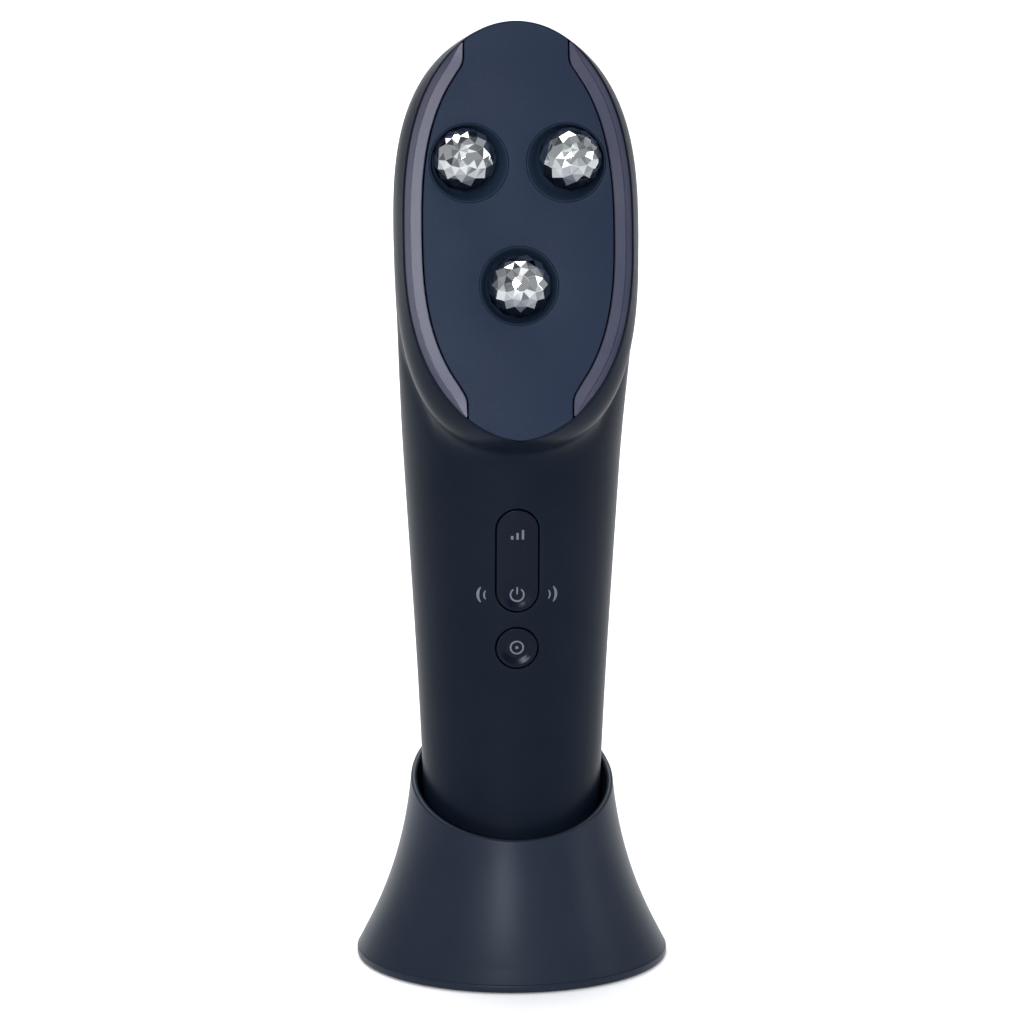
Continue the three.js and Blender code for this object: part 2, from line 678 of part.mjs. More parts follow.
// Keys, their pivot pin, switches and the frame that carries them.
function pillKey() {
  const head = extruded(pillShape(pillHalfWidth, pillHalfLength), frontOpening, keyMatrix(keyBackY, pillZ));
  const face = cut(head.intersect(outerBody), dishBall(pillDish));
  const lug = join(
    block([-lugHalfWidth, pinY, pillZ - lugRadius], [lugHalfWidth, keyBackY - 0.5, pillZ + lugRadius]),
    rod([-lugHalfWidth, pinY, pillZ], [lugHalfWidth, pinY, pillZ], lugRadius, 12),
  );
  const posts = [-1, 1].map((end) =>
    rod([0, postEndY, pillZ + end * postReach], [0, keyBackY - 0.5, pillZ + end * postReach], postRadius, 12));
  const bore = rod([-9, pinY, pillZ], [9, pinY, pillZ], pinRadius + pinGap, 12);
  return cut(join(face, lug, ...posts), bore);
}

function roundKey() {
  const head = rod([0, flangeFrontY, roundKeyZ], [0, -frontOpening, roundKeyZ], roundKeyRadius, 24);
  const flangeBack = flangeFrontY + flangeThickness;
  const flange = rod([0, flangeFrontY, roundKeyZ], [0, flangeBack, roundKeyZ], flangeRadius, 24);
  const post = rod([0, flangeBack - 0.2, roundKeyZ], [0, postEndY, roundKeyZ], postRadius, 12);
  return join(cut(head.intersect(outerBody), dishBall(roundDish)), flange, post);
}

const plungerEndY = postEndY + plungerGap;
const switchPlaces = { upper: pillZ + postReach, lower: pillZ - postReach, round: roundKeyZ };
function tactSwitch(z) {
  const half = switchSize / 2;
  const backY = boardFrontY - seatGap;
  const base = block([-half, backY - switchHeight, z - half], [half, backY, z + half]);
  return join(base, rod([0, backY - 1, z], [0, plungerEndY, z], plungerRadius, 16));
}

function keyFrame() {
  const backY = boardFrontY - seatGap;
  const low = roundKeyZ - 6;
  const high = pillZ + pillHalfLength + 4;
  const plate = block([-frameHalfWidth, backY - framePlate, low], [frameHalfWidth, backY, high]);
  const half = switchSize / 2 + seatGap;
  const windows = Object.values(switchPlaces).map((z) => block([-half, backY - 3, z - half], [half, backY + 1, z + half]));
  const ears = [-1, 1].map((side) => {
    const [a, b] = [lugHalfWidth + seatGap, pinHalfLength];
    const x = [side * a, side * b].sort((p, q) => p - q);
    const body = block([x[0], pinY, pillZ - lugRadius], [x[1], backY - 0.2, pillZ + lugRadius]);
    return join(body, rod([x[0], pinY, pillZ], [x[1], pinY, pillZ], lugRadius, 12));
  });
  const bore = rod([-9, pinY, pillZ], [9, pinY, pillZ], pinRadius + pinGap, 12);
  return cut(join(plate, ...ears), ...windows, bore);
}

const pillPin = () => rod([-pinHalfLength, pinY, pillZ], [pinHalfLength, pinY, pillZ], pinRadius, 12);

const boardBackY = boardFrontY + mainBoardThickness;
function mainBoard() {
  const plate = block([-mainBoardHalfWidth, boardFrontY, mainBoardBottomZ], [mainBoardHalfWidth, boardBackY, mainBoardTopZ]);
  const chip = block([-4, boardBackY - 0.3, mainBoardBottomZ + 4], [4, boardBackY + 1, mainBoardBottomZ + 11]);
  return join(plate, chip).intersect(innerFit);
}

// The chassis: a plate across the handle with a cradle for the battery and a saddle for the motor.
const chassisFrontY = boardBackY + 1 + seatGap;
const chassisBackY = chassisFrontY + chassisThickness;
const batteryY = chassisBackY + seatGap + batteryRadius;
const motorY = chassisBackY + seatGap + motorRadius;
function chassis() {
  const plate = block([-30, chassisFrontY, chassisBottomZ], [30, chassisBackY, chassisTopZ]);
  const standoffs = [-1, 1].flatMap((side) =>
    [mainBoardBottomZ + 16, mainBoardTopZ - 5].map((z) => {
      const x = side * (mainBoardHalfWidth - 3);
      return rod([x, boardBackY + seatGap, z], [x, chassisFrontY + 0.5, z], 1.6, 12);
    }));
  const half = batteryLength / 2;
  const inner = batteryRadius + seatGap;
  const outer = inner + cradleWall;
  const [lowZ, highZ] = [batteryMiddleZ - half - seatGap - cradleWall, batteryMiddleZ + half + seatGap + cradleWall];
  const tray = block([-outer, chassisBackY - 0.5, lowZ], [outer, batteryY, highZ]);
  const trayHollow = block([-inner, chassisBackY + 0.001, lowZ + cradleWall], [inner, batteryY + 1, highZ - cradleWall]);
  const bed = rod([0, batteryY, lowZ + cradleWall], [0, batteryY, highZ - cradleWall], inner, 20);
  const saddles = [motorBottomZ + 2, motorBottomZ + motorLength - 4].map((z) =>
    block([-motorRadius - 1, chassisBackY - 0.5, z], [motorRadius + 1, motorY, z + 2]));
  const motorBed = rod([0, motorY, motorBottomZ - 1], [0, motorY, motorBottomZ + motorLength + 1], motorRadius + seatGap, 20);
  const foot = block([-16, chassisFrontY, chassisBottomZ], [16, 6, chassisBottomZ + 10]);
  const screwHoles = [-1, 1].map((side) =>
    rod([side * capScrewX, 0, 0], [side * capScrewX, 0, chassisBottomZ + 9], screwRadius + seatGap, 10));
  const whole = join(plate, ...standoffs, tray, ...saddles, foot);
  return cut(whole, trayHollow, bed, motorBed, ...screwHoles).intersect(innerFit);
}

function battery() {
  const half = batteryLength / 2;
  const cell = rod([0, batteryY, batteryMiddleZ - half], [0, batteryY, batteryMiddleZ + half - 1.2], batteryRadius, 20);
  return join(cell, rod([0, batteryY, batteryMiddleZ], [0, batteryY, batteryMiddleZ + half], 2.6, 16));
}

const motorTopZ = motorBottomZ + motorLength;
function motorCan() {
  const can = rod([0, motorY, motorBottomZ], [0, motorY, motorTopZ], motorRadius, 20);
  const boss = rod([0, motorY, motorTopZ - 1], [0, motorY, motorTopZ + 1], 2, 16);
  return cut(join(can, boss), rod([0, motorY, motorTopZ - 4], [0, motorY, motorTopZ + 3], shaftRadius + pinGap, 16));
}

// The strap that holds the motor in its saddles.
function motorClamp() {
  const low = motorBottomZ + 4 + seatGap;
  const inner = motorRadius + seatGap;
  const outer = inner + clampThickness;
  const bow = join(
    rod([0, motorY, low], [0, motorY, low + clampWidth], outer, 20),
    block([-outer, chassisBackY + seatGap, low], [outer, motorY, low + clampWidth]),
  );
  const feet = block([-outer - 3, chassisBackY + seatGap, low], [outer + 3, chassisBackY + seatGap + clampThickness, low + clampWidth]);
  const bore = join(
    rod([0, motorY, low - 1], [0, motorY, low + clampWidth + 1], inner, 20),
    block([-inner, chassisBackY - 1, low - 1], [inner, motorY, low + clampWidth + 1]),
  );
  return cut(join(bow, feet), bore);
}

// Shaft with its half-round weight, which shakes the head as it spins.
function motorWeight() {
  const weightBottom = motorTopZ + 1 + shaftShowing;
  const shaft = rod([0, motorY, motorTopZ - 3], [0, motorY, weightBottom + weightLength], shaftRadius, 16);
  const disc = rod([0, motorY, weightBottom], [0, motorY, weightBottom + weightLength - 0.4], weightRadius, 20);
  const half = block([-9, motorY - 1.2, 0], [9, 60, 200]);
  return join(shaft, disc.intersect(half));
}

// Bottom of the brush: cap, seal, charging inlet and two screws.
const screwHeadZ = brushBottomZ + screwHeadHeight + 0.4;
function bottomCap() {
  const capTop = brushBottomZ + capThickness;
  const slab = block([-40, -40, 0], [40, 40, capTop]);
  const lip = outerBody.intersect(slab);
  const plugBody = innerFit.intersect(
    block([-40, -40, capTop - 0.5], [40, 40, capTop + plugHeight]));
  const hollow = bodyLoft(0, caseWall + seatGap + plugWall, 20, 7).intersect(
    block([-40, -40, capTop], [40, 40, capTop + plugHeight + 1]));
  const grooveLow = capTop + 1.6;
  const grooveBand = block([-40, -40, grooveLow], [40, 40, grooveLow + sealHeight + 2 * seatGap]);
  const groove = cut(grooveBand, bodyLoft(0, caseWall + 2 * seatGap + sealThickness, 20, 7));
  const bosses = [-1, 1].map((side) =>
    rod([side * capScrewX, 0, capTop - 0.5], [side * capScrewX, 0, capTop + plugHeight], 3, 12));
  const inletBoss = block([-7, -4, capTop - 0.5], [7, 4, brushBottomZ + inletDepth + 1.4]);
  const slot = extruded(
    pillShape(inletHalfHeight + seatGap, inletHalfWidth + seatGap), 60,
    new THREE.Matrix4().set(0, 1, 0, 0, 1, 0, 0, 0, 0, 0, 1, 0, 0, 0, 0, 1));
  const slotCut = slot.intersect(block([-20, -20, 0], [20, 20, brushBottomZ + inletDepth + 0.4]));
  const drills = [-1, 1].flatMap((side) => [
    rod([side * capScrewX, 0, 0], [side * capScrewX, 0, 60], screwRadius + seatGap, 10),
    rod([side * capScrewX, 0, 0], [side * capScrewX, 0, screwHeadZ + seatGap], screwHeadRadius + seatGap, 12),
  ]);
  const whole = cut(join(cut(join(lip, plugBody), hollow), ...bosses, inletBoss), groove);
  return cut(whole, slotCut, ...drills);
}

function bottomSeal() {
  const low = brushBottomZ + capThickness + 1.6 + seatGap;
  const band = block([-40, -40, low], [40, 40, low + sealHeight]);
  return cut(innerFit.intersect(band), bodyLoft(0, caseWall + seatGap + sealThickness, 20, 7));
}

function chargeInlet() {
  const matrix = (z) => new THREE.Matrix4().set(0, 1, 0, 0, 1, 0, 0, 0, 0, 0, 1, z, 0, 0, 0, 1);
  const low = brushBottomZ + 0.4;
  const high = brushBottomZ + inletDepth;
  const can = extruded(pillShape(inletHalfHeight, inletHalfWidth), high - low, matrix(low));
  const mouth = extruded(
    pillShape(inletHalfHeight - inletWall, inletHalfWidth - inletWall), high - low - 1, matrix(low - 0.4));
  const tongue = block([-inletHalfWidth + 1.2, -0.35, low + 0.8], [inletHalfWidth - 1.2, 0.35, high - 0.5]);
  return join(cut(can, mouth), tongue);
}

function capScrew(side) {
  const x = side * capScrewX;
  const head = rod([x, 0, brushBottomZ + 0.4], [x, 0, screwHeadZ], screwHeadRadius, 12);
  const shank = rod([x, 0, screwHeadZ - 0.2], [x, 0, screwHeadZ + capScrewLength], screwRadius, 10);
  const socket = rod([x, 0, 0], [x, 0, screwHeadZ - 0.5], 0.9, 6);
  return cut(join(head, shank), socket);
}

// Holder: a flared shell with a slanted rim, an inner cup, a base plate, ballast and a rubber foot.
function flareRadius(z) {
  const t = THREE.MathUtils.clamp((flareTopZ - z) / (flareTopZ - shellBottomZ - baseBandHeight), 0, 1);
  const share = flareShape.even * t + (1 - flareShape.even) * Math.pow(t, flareShape.power);
  return THREE.MathUtils.lerp(holderRimRadius, holderBaseRadius, share);
}

function holderShell() {
  const steps = 9;
  const bandTop = shellBottomZ + baseBandHeight;
  const heights = Array.from({ length: steps + 1 }, (_, i) => THREE.MathUtils.lerp(bandTop, holderTopZ, i / steps));
  const outer = [[0, shellBottomZ], [holderBaseRadius - 0.5, shellBottomZ], [holderBaseRadius, shellBottomZ + 0.5]];
  heights.forEach((z) => outer.push([flareRadius(z), z]));
  outer.push([0, holderTopZ]);
  const inner = [[0, shellBottomZ - 1], [holderBaseRadius - holderWall, shellBottomZ - 1]];
  heights.forEach((z) => inner.push([flareRadius(z) - holderWall, z]));
  inner.push([flareRadius(holderTopZ) - holderWall, holderTopZ + 1], [0, holderTopZ + 1]);
  const outerSolid = turned(outer, 36);
  const whole = cut(outerSolid, turned(inner, 20));
  const slope = Math.tan(holderRimTilt);
  const far = cutReach;
  const above = [
    new THREE.Vector2(-far, holderRimZ - far * slope),
    new THREE.Vector2(far, holderRimZ + far * slope),
    new THREE.Vector2(far, holderRimZ + far),
    new THREE.Vector2(-far, holderRimZ + far),
  ];
  const matrix = new THREE.Matrix4().set(0, 0, 1, -far, 1, 0, 0, 0, 0, 1, 0, 0, 0, 0, 0, 1);
  const bosses = screwPlaces().map(([x, y]) => {
    const boss = rod([x, y, basePlateTopZ + seatGap], [x, y, bossTopZ], bossRadius, 12);
    return boss.intersect(outerSolid);
  });
  const drills = screwPlaces().map(([x, y]) => rod([x, y, 0], [x, y, 11], screwRadius + seatGap, 10));
  return cut(join(whole, ...bosses), extruded(above, 2 * far, matrix), ...drills);
}

const basePlateBottomZ = footThickness + seatGap;
const basePlateTopZ = basePlateBottomZ + basePlateThickness;
const basePlateRadius = holderBaseRadius - holderWall - basePlateInset;
function screwPlaces() {
  const circle = flareRadius(bossTopZ) - holderWall - bossSink;
  return Array.from({ length: holderScrewCount }, (_, i) => {
    const turn = Math.PI / 2 + (2 * Math.PI * i) / holderScrewCount;
    return [circle * Math.cos(turn), circle * Math.sin(turn)];
  });
}

function holderBase() {
  const disc = rod([0, 0, basePlateBottomZ], [0, 0, basePlateTopZ], basePlateRadius, 32);
  const drills = screwPlaces().flatMap(([x, y]) => [
    rod([x, y, 0], [x, y, 11], screwRadius + seatGap, 10),
    rod([x, y, 0], [x, y, basePlateBottomZ + screwHeadHeight], screwHeadRadius + seatGap, 12),
  ]);
  return cut(disc, ...drills);
}

const footRadius = holderBaseRadius - holderWall - footInset;
function footPad() {
  const edge = footThickness / 3;
  return turned([[0, 0], [footRadius - edge, 0], [footRadius, edge], [footRadius, footThickness], [0, footThickness]], 32);
}

// The cup stands on the base plate, and the brush stands on its floor.
const cupFloorTopZ = brushBottomZ - seatGap;
function holderCup() {
  const loft = (inset, count) => bodyLoft(0, -inset, count, 8);
  const bottom = basePlateTopZ + seatGap;
  const wall = loft(cupClearance + cupWall, 28).intersect(block([-40, -40, bottom], [40, 40, cupRimZ]));
  const hollow = loft(cupClearance, 28).intersect(block([-40, -40, cupFloorTopZ], [40, 40, 90]));
  const under = loft(cupClearance, 20).intersect(block([-40, -40, 0], [40, 40, cupFloorTopZ - cupFloor]));
  const drain = rod([0, 0, 0], [0, 0, 20], 3, 14);
  return cut(wall, hollow, under, drain);
}

function ballast() {
  const low = basePlateTopZ + seatGap;
  return cut(rod([0, 0, low], [0, 0, low + ballastThickness], ballastRadius, 24), rod([0, 0, 0], [0, 0, 9], 4, 14));
}

function holderScrew([x, y]) {
  const headLow = footThickness + seatGap;
  const head = rod([x, y, headLow], [x, y, headLow + screwHeadHeight - seatGap], screwHeadRadius, 12);
  return join(head, rod([x, y, headLow + 0.5], [x, y, headLow + holderScrewLength], screwRadius, 10));
}

// Colour, roughness and metalness of each finish.
const finishes = {
  navySatin: [0x232936, 0.42, 0.15],
  facePaint: [0x323a4e, 0.5, 0.2],
  collarPaint: [0x1a2030, 0.4, 0.1],
  holderSatin: [0x2b3340, 0.45, 0.1],
  chrome: [0xd8dcde, 0.06, 1],
  lens: [0x6d6f88, 0.3, 0.1],
  board: [0x1f5a3c, 0.6, 0],
  innerPlastic: [0x8d9096, 0.65, 0],
  rubber: [0x1c1d20, 0.85, 0],
  steel: [0x9a9da1, 0.35, 1],
  brass: [0xb08d4a, 0.35, 1],
  cell: [0x3c6ea0, 0.45, 0],
};

const brush = new THREE.Group();
const holder = new THREE.Group();

function add(group, name, body, finish) {
  const [color, roughness, metalness] = finishes[finish];
  const mesh = new THREE.Mesh(geometryOf(body), new THREE.MeshStandardMaterial({ color, roughness, metalness }));
  mesh.name = name;
  group.add(mesh);
}

add(brush, "front_case", frontCase, "navySatin");
add(brush, "rear_case", rearCase, "navySatin");
add(brush, "face_plate", facePlate(), "facePaint");
add(brush, "face_gasket", faceGasket(), "rubber");
for (const tip of tips) {
  add(brush, `tip_${tip.name}`, facetedTip(tip), "chrome");
  add(brush, `tip_collar_${tip.name}`, tipCollar(tip), "collarPaint");
  add(brush, `tip_contact_${tip.name}`, tipContact(tip), "brass");
}
for (const [name, side] of [["left", -1], ["right", 1]]) {
  add(brush, `light_strip_${name}`, lightStrip(side), "lens");
  add(brush, `light_board_${name}`, lightBoard(side), "board");
  add(brush, `cap_screw_${name}`, capScrew(side), "steel");
}
add(brush, "pill_key", pillKey(), "navySatin");
add(brush, "pill_pin", pillPin(), "steel");
add(brush, "round_key", roundKey(), "navySatin");
add(brush, "key_frame", keyFrame(), "innerPlastic");
for (const [name, z] of Object.entries(switchPlaces)) add(brush, `switch_${name}`, tactSwitch(z), "steel");
add(brush, "main_board", mainBoard(), "board");
add(brush, "chassis", chassis(), "innerPlastic");
add(brush, "battery", battery(), "cell");
add(brush, "motor_can", motorCan(), "steel");
add(brush, "motor_clamp", motorClamp(), "steel");
add(brush, "motor_weight", motorWeight(), "brass");
add(brush, "bottom_cap", bottomCap(), "navySatin");
add(brush, "bottom_seal", bottomSeal(), "rubber");
add(brush, "charge_inlet", chargeInlet(), "steel");

add(holder, "holder_shell", holderShell(), "holderSatin");
add(holder, "holder_cup", holderCup(), "innerPlastic");
add(holder, "holder_base", holderBase(), "innerPlastic");
add(holder, "foot_pad", footPad(), "rubber");
add(holder, "ballast", ballast(), "steel");
screwPlaces().forEach((place, i) => add(holder, `holder_screw_${i + 1}`, holderScrew(place), "steel"));

const device = new THREE.Group();
device.add(brush, holder);

export default device;
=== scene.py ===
# Facial lifting brush in its holder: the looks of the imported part.
# Lengths are in millimetres until they reach Blender.
import json
import math
import bmesh
import bpy
import numpy as np
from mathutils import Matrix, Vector
from mathutils.geometry import delaunay_2d_cdt


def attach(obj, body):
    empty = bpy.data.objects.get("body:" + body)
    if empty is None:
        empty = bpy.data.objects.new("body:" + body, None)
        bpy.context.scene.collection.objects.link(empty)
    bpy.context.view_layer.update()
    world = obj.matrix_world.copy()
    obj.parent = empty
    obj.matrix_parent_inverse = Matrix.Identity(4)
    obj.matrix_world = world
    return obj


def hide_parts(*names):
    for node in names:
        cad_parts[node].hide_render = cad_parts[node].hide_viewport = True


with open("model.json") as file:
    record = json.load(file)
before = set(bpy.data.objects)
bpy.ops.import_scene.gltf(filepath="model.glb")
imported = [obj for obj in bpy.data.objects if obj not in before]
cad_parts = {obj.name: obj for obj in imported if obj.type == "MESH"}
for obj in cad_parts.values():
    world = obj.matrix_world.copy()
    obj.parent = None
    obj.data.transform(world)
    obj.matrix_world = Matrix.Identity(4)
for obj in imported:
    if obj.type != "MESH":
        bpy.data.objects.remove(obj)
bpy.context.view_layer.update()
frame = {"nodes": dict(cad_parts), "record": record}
nodes = frame["nodes"]
mm = 0.001
# guards against a division by nothing, and the distance at which points merge
tiny, hair, sliver, merged = 1e-9, 1e-4, 1e-3, 1e-7


class Skin:
    # points and faces of one piece, in millimetres
    def __init__(self):
        self.points, self.faces = [], []

    def row(self, points):
        first = len(self.points)
        self.points.extend(tuple(float(c) for c in p) for p in points)
        return list(range(first, len(self.points)))

    def strip(self, low, high, closed=False):
        count = len(low)
        for i in range(count if closed else count - 1):
            j = (i + 1) % count
            self.faces.append((low[i], low[j], high[j], high[i]))

    def rows(self, rows, closed=False):
        for low, high in zip(rows, rows[1:]):
            self.strip(low, high, closed)

    def cap(self, row):
        middle = self.row([np.mean([self.points[i] for i in row], axis=0)])[0]
        for i, j in zip(row, row[1:] + row[:1]):
            self.faces.append((i, j, middle))

    def weld(self):
        seen, where = {}, []
        for p in self.points:
            where.append(seen.setdefault(tuple(round(c, 4) for c in p), len(seen)))
        self.points = list(seen)
        whole = []
        for face in self.faces:
            kept = [where[i] for n, i in enumerate(face) if where[i] != where[face[n - 1]]]
            if len(set(kept)) == len(kept) > 2:
                whole.append(tuple(kept))
        self.faces = whole

    def fill(self, edges, flat):
        # triangles over the area that the edges enclose, seen in the plane that flat gives
        used = sorted({i for edge in edges for i in edge})
        place = {i: n for n, i in enumerate(used)}
        spots = [Vector(flat(self.points[i])) for i in used]
        found = delaunay_2d_cdt(spots, [(place[a], place[b]) for a, b in edges], [], 0, merged)
        ends = np.array([[flat(self.points[a]), flat(self.points[b])] for a, b in edges])
        low, high = ends[:, 0], ends[:, 1]
        for corners in found[2]:
            middle = np.mean([found[0][c] for c in corners], axis=0)
            over = (low[:, 1] > middle[1]) != (high[:, 1] > middle[1])
            a, b = low[over], high[over]
            across = a[:, 0] + (middle[1] - a[:, 1]) * (b[:, 0] - a[:, 0]) / (b[:, 1] - a[:, 1])
            if np.count_nonzero(across > middle[0]) % 2:
                self.faces.append(tuple(used[found[3][c][0]] for c in corners))

    def piece(self, name, body, slot, paint, replaced=(), sharp=38, outward=True):
        self.weld()
        mesh = bpy.data.meshes.new(name)
        mesh.from_pydata([[c * mm for c in p] for p in self.points], [], self.faces)
        work = bmesh.new()
        work.from_mesh(mesh)
        bmesh.ops.dissolve_degenerate(work, dist=merged, edges=work.edges)
        bmesh.ops.recalc_face_normals(work, faces=work.faces)
        if outward:
            middle = sum((v.co for v in work.verts), Vector()) / len(work.verts)
            facing = sum((f.calc_center_median() - middle).dot(f.normal) * f.calc_area() for f in work.faces)
            if facing < 0:
                bmesh.ops.reverse_faces(work, faces=work.faces)
        work.to_mesh(mesh)
        work.free()
        mesh.shade_smooth()
        mesh.set_sharp_from_angle(angle=math.radians(sharp))
        made = bpy.data.objects.new(name, mesh)
        bpy.context.scene.collection.objects.link(made)
        made.data.materials.append(paint)
        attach(made, body)
        if replaced:
            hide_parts(*replaced)


def lerp(a, b, t):
    return a + (b - a) * t


def smooth(t, low, high):
    t = np.clip((t - low) / (high - low), 0, 1)
    return t * t * (3 - 2 * t)


def hermite(z, z0, y0, slope0, z1, y1, slope1):
    h = z1 - z0
    t = np.clip((z - z0) / h, 0, 1)
    return ((2 * t**3 - 3 * t**2 + 1) * y0 + (t**3 - 2 * t**2 + t) * h * slope0
            + (3 * t**2 - 2 * t**3) * y1 + (t**3 - t**2) * h * slope1)


def arc(t, shape):
    # half-width of an oval of unit size, its two exponents being across and along
    return np.maximum(0, 1 - np.minimum(1, np.abs(t)) ** shape[1]) ** (1 / shape[0])


class Value:
    # a socket whose arithmetic adds Math nodes
    def __init__(self, paint, socket):
        self.paint, self.socket = paint, socket

    def math(self, kind, *others):
        return self.paint.node("ShaderNodeMath", {"operation": kind}, dict(enumerate((self, *others))))

    def __add__(self, other):
        return self.math("ADD", other)

    def __sub__(self, other):
        return self.math("SUBTRACT", other)

    def __rsub__(self, other):
        return self.paint.node("ShaderNodeMath", {"operation": "SUBTRACT"}, {0: other, 1: self})

    def __mul__(self, other):
        return self.math("MULTIPLY", other)

    def between(self, low, high):
        return self.paint.node("ShaderNodeMapRange", {"clamp": True}, {0: self, 1: low, 2: high})


class Paint:
    # a material with its shader, and one method for all its nodes
    def __init__(self, name, **fixed):
        self.material = bpy.data.materials.new(name)
        self.material.use_nodes = True
        self.tree = self.material.node_tree
        self.shader = self.tree.nodes["Principled BSDF"]
        for socket, value in fixed.items():
            self.shader.inputs[socket.replace("_", " ")].default_value = value
        self.place = self.node("ShaderNodeTexCoord", {}, {}, "Object")

    def node(self, kind, settings, inputs, out=0):
        made = self.tree.nodes.new(kind)
        for key, value in settings.items():
            setattr(made, key, value)
        for key, value in inputs.items():
            if isinstance(value, Value):
                self.tree.links.new(value.socket, made.inputs[key])
            else:
                made.inputs[key].default_value = value
        return Value(self, made.outputs[out])

    def noise(self, scale, detail, rough=0.5, place=None):
        inputs = {"Vector": place or self.place, "Scale": scale, "Detail": detail, "Roughness": rough}
        return self.node("ShaderNodeTexNoise", {}, inputs)

    def mix(self, amount, first, second):
        settings = {"data_type": "RGBA", "blend_type": "MIX", "clamp_result": True}
        return self.node("ShaderNodeMix", settings, {0: amount, 6: first, 7: second}, 2)

    def feed(self, **links):
        for socket, value in links.items():
            self.tree.links.new(value.socket, self.shader.inputs[socket.replace("_", " ")])
        return self

    def bump(self, height, depth):
        inputs = {"Height": height, "Distance": depth * mm, "Strength": 1.0}
        made = self.node("ShaderNodeBump", {}, inputs, "Normal")
        return self.feed(Normal=made)


def linearShare(share):
    return share / 12.92 if share <= 0.04045 else ((share + 0.055) / 1.055) ** 2.4


def linear(code):
    # a screen colour in linear shares, opaque
    return (*[linearShare(int(code[i:i + 2], 16) / 255) for i in (1, 3, 5)], 1)


cloudy = (0.3, 0.7)
satin = {
    "flakeScale": 5200, "flakeSpread": (0.56, 0.72), "flakeShare": 0.16, "flakeGain": 1.9, "flakeShine": 0.08,
    "flakeBump": 0.35, "cloudScale": 38, "cloudRough": 0.03, "peelScale": 1500, "peelDepth": 0.006,
    "specular": 0.07, "tint": (0.78, 0.88, 1.0, 1),
}


def satinPaint(name, dark, light, rough, flake=1.0, specular=satin["specular"]):
    # moulded plastic under satin paint: fine flake, faint clouding, orange peel
    paint = Paint(name, Specular_IOR_Level=specular, Specular_Tint=satin["tint"])
    grain = paint.noise(satin["flakeScale"], 1.0)
    cloud = paint.noise(satin["cloudScale"], 3.0)
    peel = paint.noise(satin["peelScale"], 2.0)
    glint = grain.between(*satin["flakeSpread"])
    colour = paint.mix(cloud.between(*cloudy), linear(dark), linear(light))
    bright = tuple(min(1, c * satin["flakeGain"]) for c in linear(light)[:3]) + (1,)
    colour = paint.mix(glint * satin["flakeShare"] * flake, colour, bright)
    plain = rough - satin["cloudRough"] / 2
    shine = cloud * satin["cloudRough"] - glint * satin["flakeShine"] * flake + plain
    paint.feed(Base_Color=colour, Roughness=shine)
    return paint.bump(peel + grain * satin["flakeBump"], satin["peelDepth"]).material


mirror = {
    "hazeScale": 900, "hazeSpread": (0.45, 0.9), "hazeRough": 0.05, "rough": 0.035, "bump": 0.0008,
    "scuffScale": 60, "scuffSpread": (0.35, 0.7), "scuffed": "#dfe3e3", "clean": "#eceeec",
    # the darker tone that some facets take is a painted reflection, and the colour that downward facets take
    # is painted shade
    "paintedReflectionScale": 4.2, "paintedReflectionSpread": (0.36, 0.5), "paintedReflectionDark": "#6f7273",
    "paintedShadeSpread": (-0.6, 0.05), "down": "#4f5560",
}


def mirrorPaint(name, look):
    # polished facets with painted light: a darker tone on some facets, picked by their normals, is a painted
    # reflection, and facets that face down are darker as painted shade
    paint = Paint(name, Metallic=1.0)
    haze = paint.noise(look["hazeScale"], 3.0)
    scuff = paint.noise(look["scuffScale"], 4.0, 0.7).between(*look["scuffSpread"])
    facing = paint.node("ShaderNodeTexCoord", {}, {}, "Normal")
    # painted reflection: some facets, picked by their normals, take a darker tone
    paintedReflection = paint.noise(look["paintedReflectionScale"], 1.0, place=facing).between(*look["paintedReflectionSpread"])
    # painted shade: facets that face down take a darker colour
    outsidePaintedShade = paint.node("ShaderNodeSeparateXYZ", {}, {"Vector": facing}, 2).between(*look["paintedShadeSpread"])
    colour = paint.mix(scuff, linear(look["scuffed"]), linear(look["clean"]))
    colour = paint.mix(paintedReflection, linear(look["paintedReflectionDark"]), colour)
    colour = paint.mix(outsidePaintedShade, linear(look["down"]), colour)
    shine = haze.between(*look["hazeSpread"]) * look["hazeRough"] + look["rough"]
    paint.feed(Base_Color=colour, Roughness=shine)
    return paint.bump(haze, look["bump"]).material


# scale and detail of the clouds and of the grain, and what they do to the shine and the surface
mottled = {
    "lens": {"cloud": (70, 3.0), "cloudRough": 0.08, "grain": (2600, 2.0), "grainRough": 0.06, "rough": 0.24,
             "bump": 0.003},
    "rubber": {"cloud": (110, 4.0), "spread": (0.4, 0.75), "grain": (3200, 3.0), "grainRough": 0.1,
               "rough": 0.72, "bump": 0.02},
    "moulding": {"cloud": (45, 2.0), "grain": (2400, 2.0), "grainRough": 0.12, "rough": 0.5, "bump": 0.012},
    "steel": {"cloud": (120, 3.0), "grain": (4000, 2.0), "stretch": (1, 1, 0.06), "grainRough": 0.12,
              "rough": 0.28, "bump": 0.002},
    "sleeve": {"cloud": (90, 3.0), "grain": (1800, 2.0), "grainRough": 0.1, "rough": 0.28, "bump": 0.006},
    "ink": {"cloud": (900, 3.0), "spread": (0.25, 0.75), "cloudRough": 0.1, "rough": 0.5},
    "floor": {"cloud": (3, 2.0), "cloudRough": 0.05, "rough": 0.7},
}
mottled["brass"] = {**mottled["steel"], "rough": 0.26}


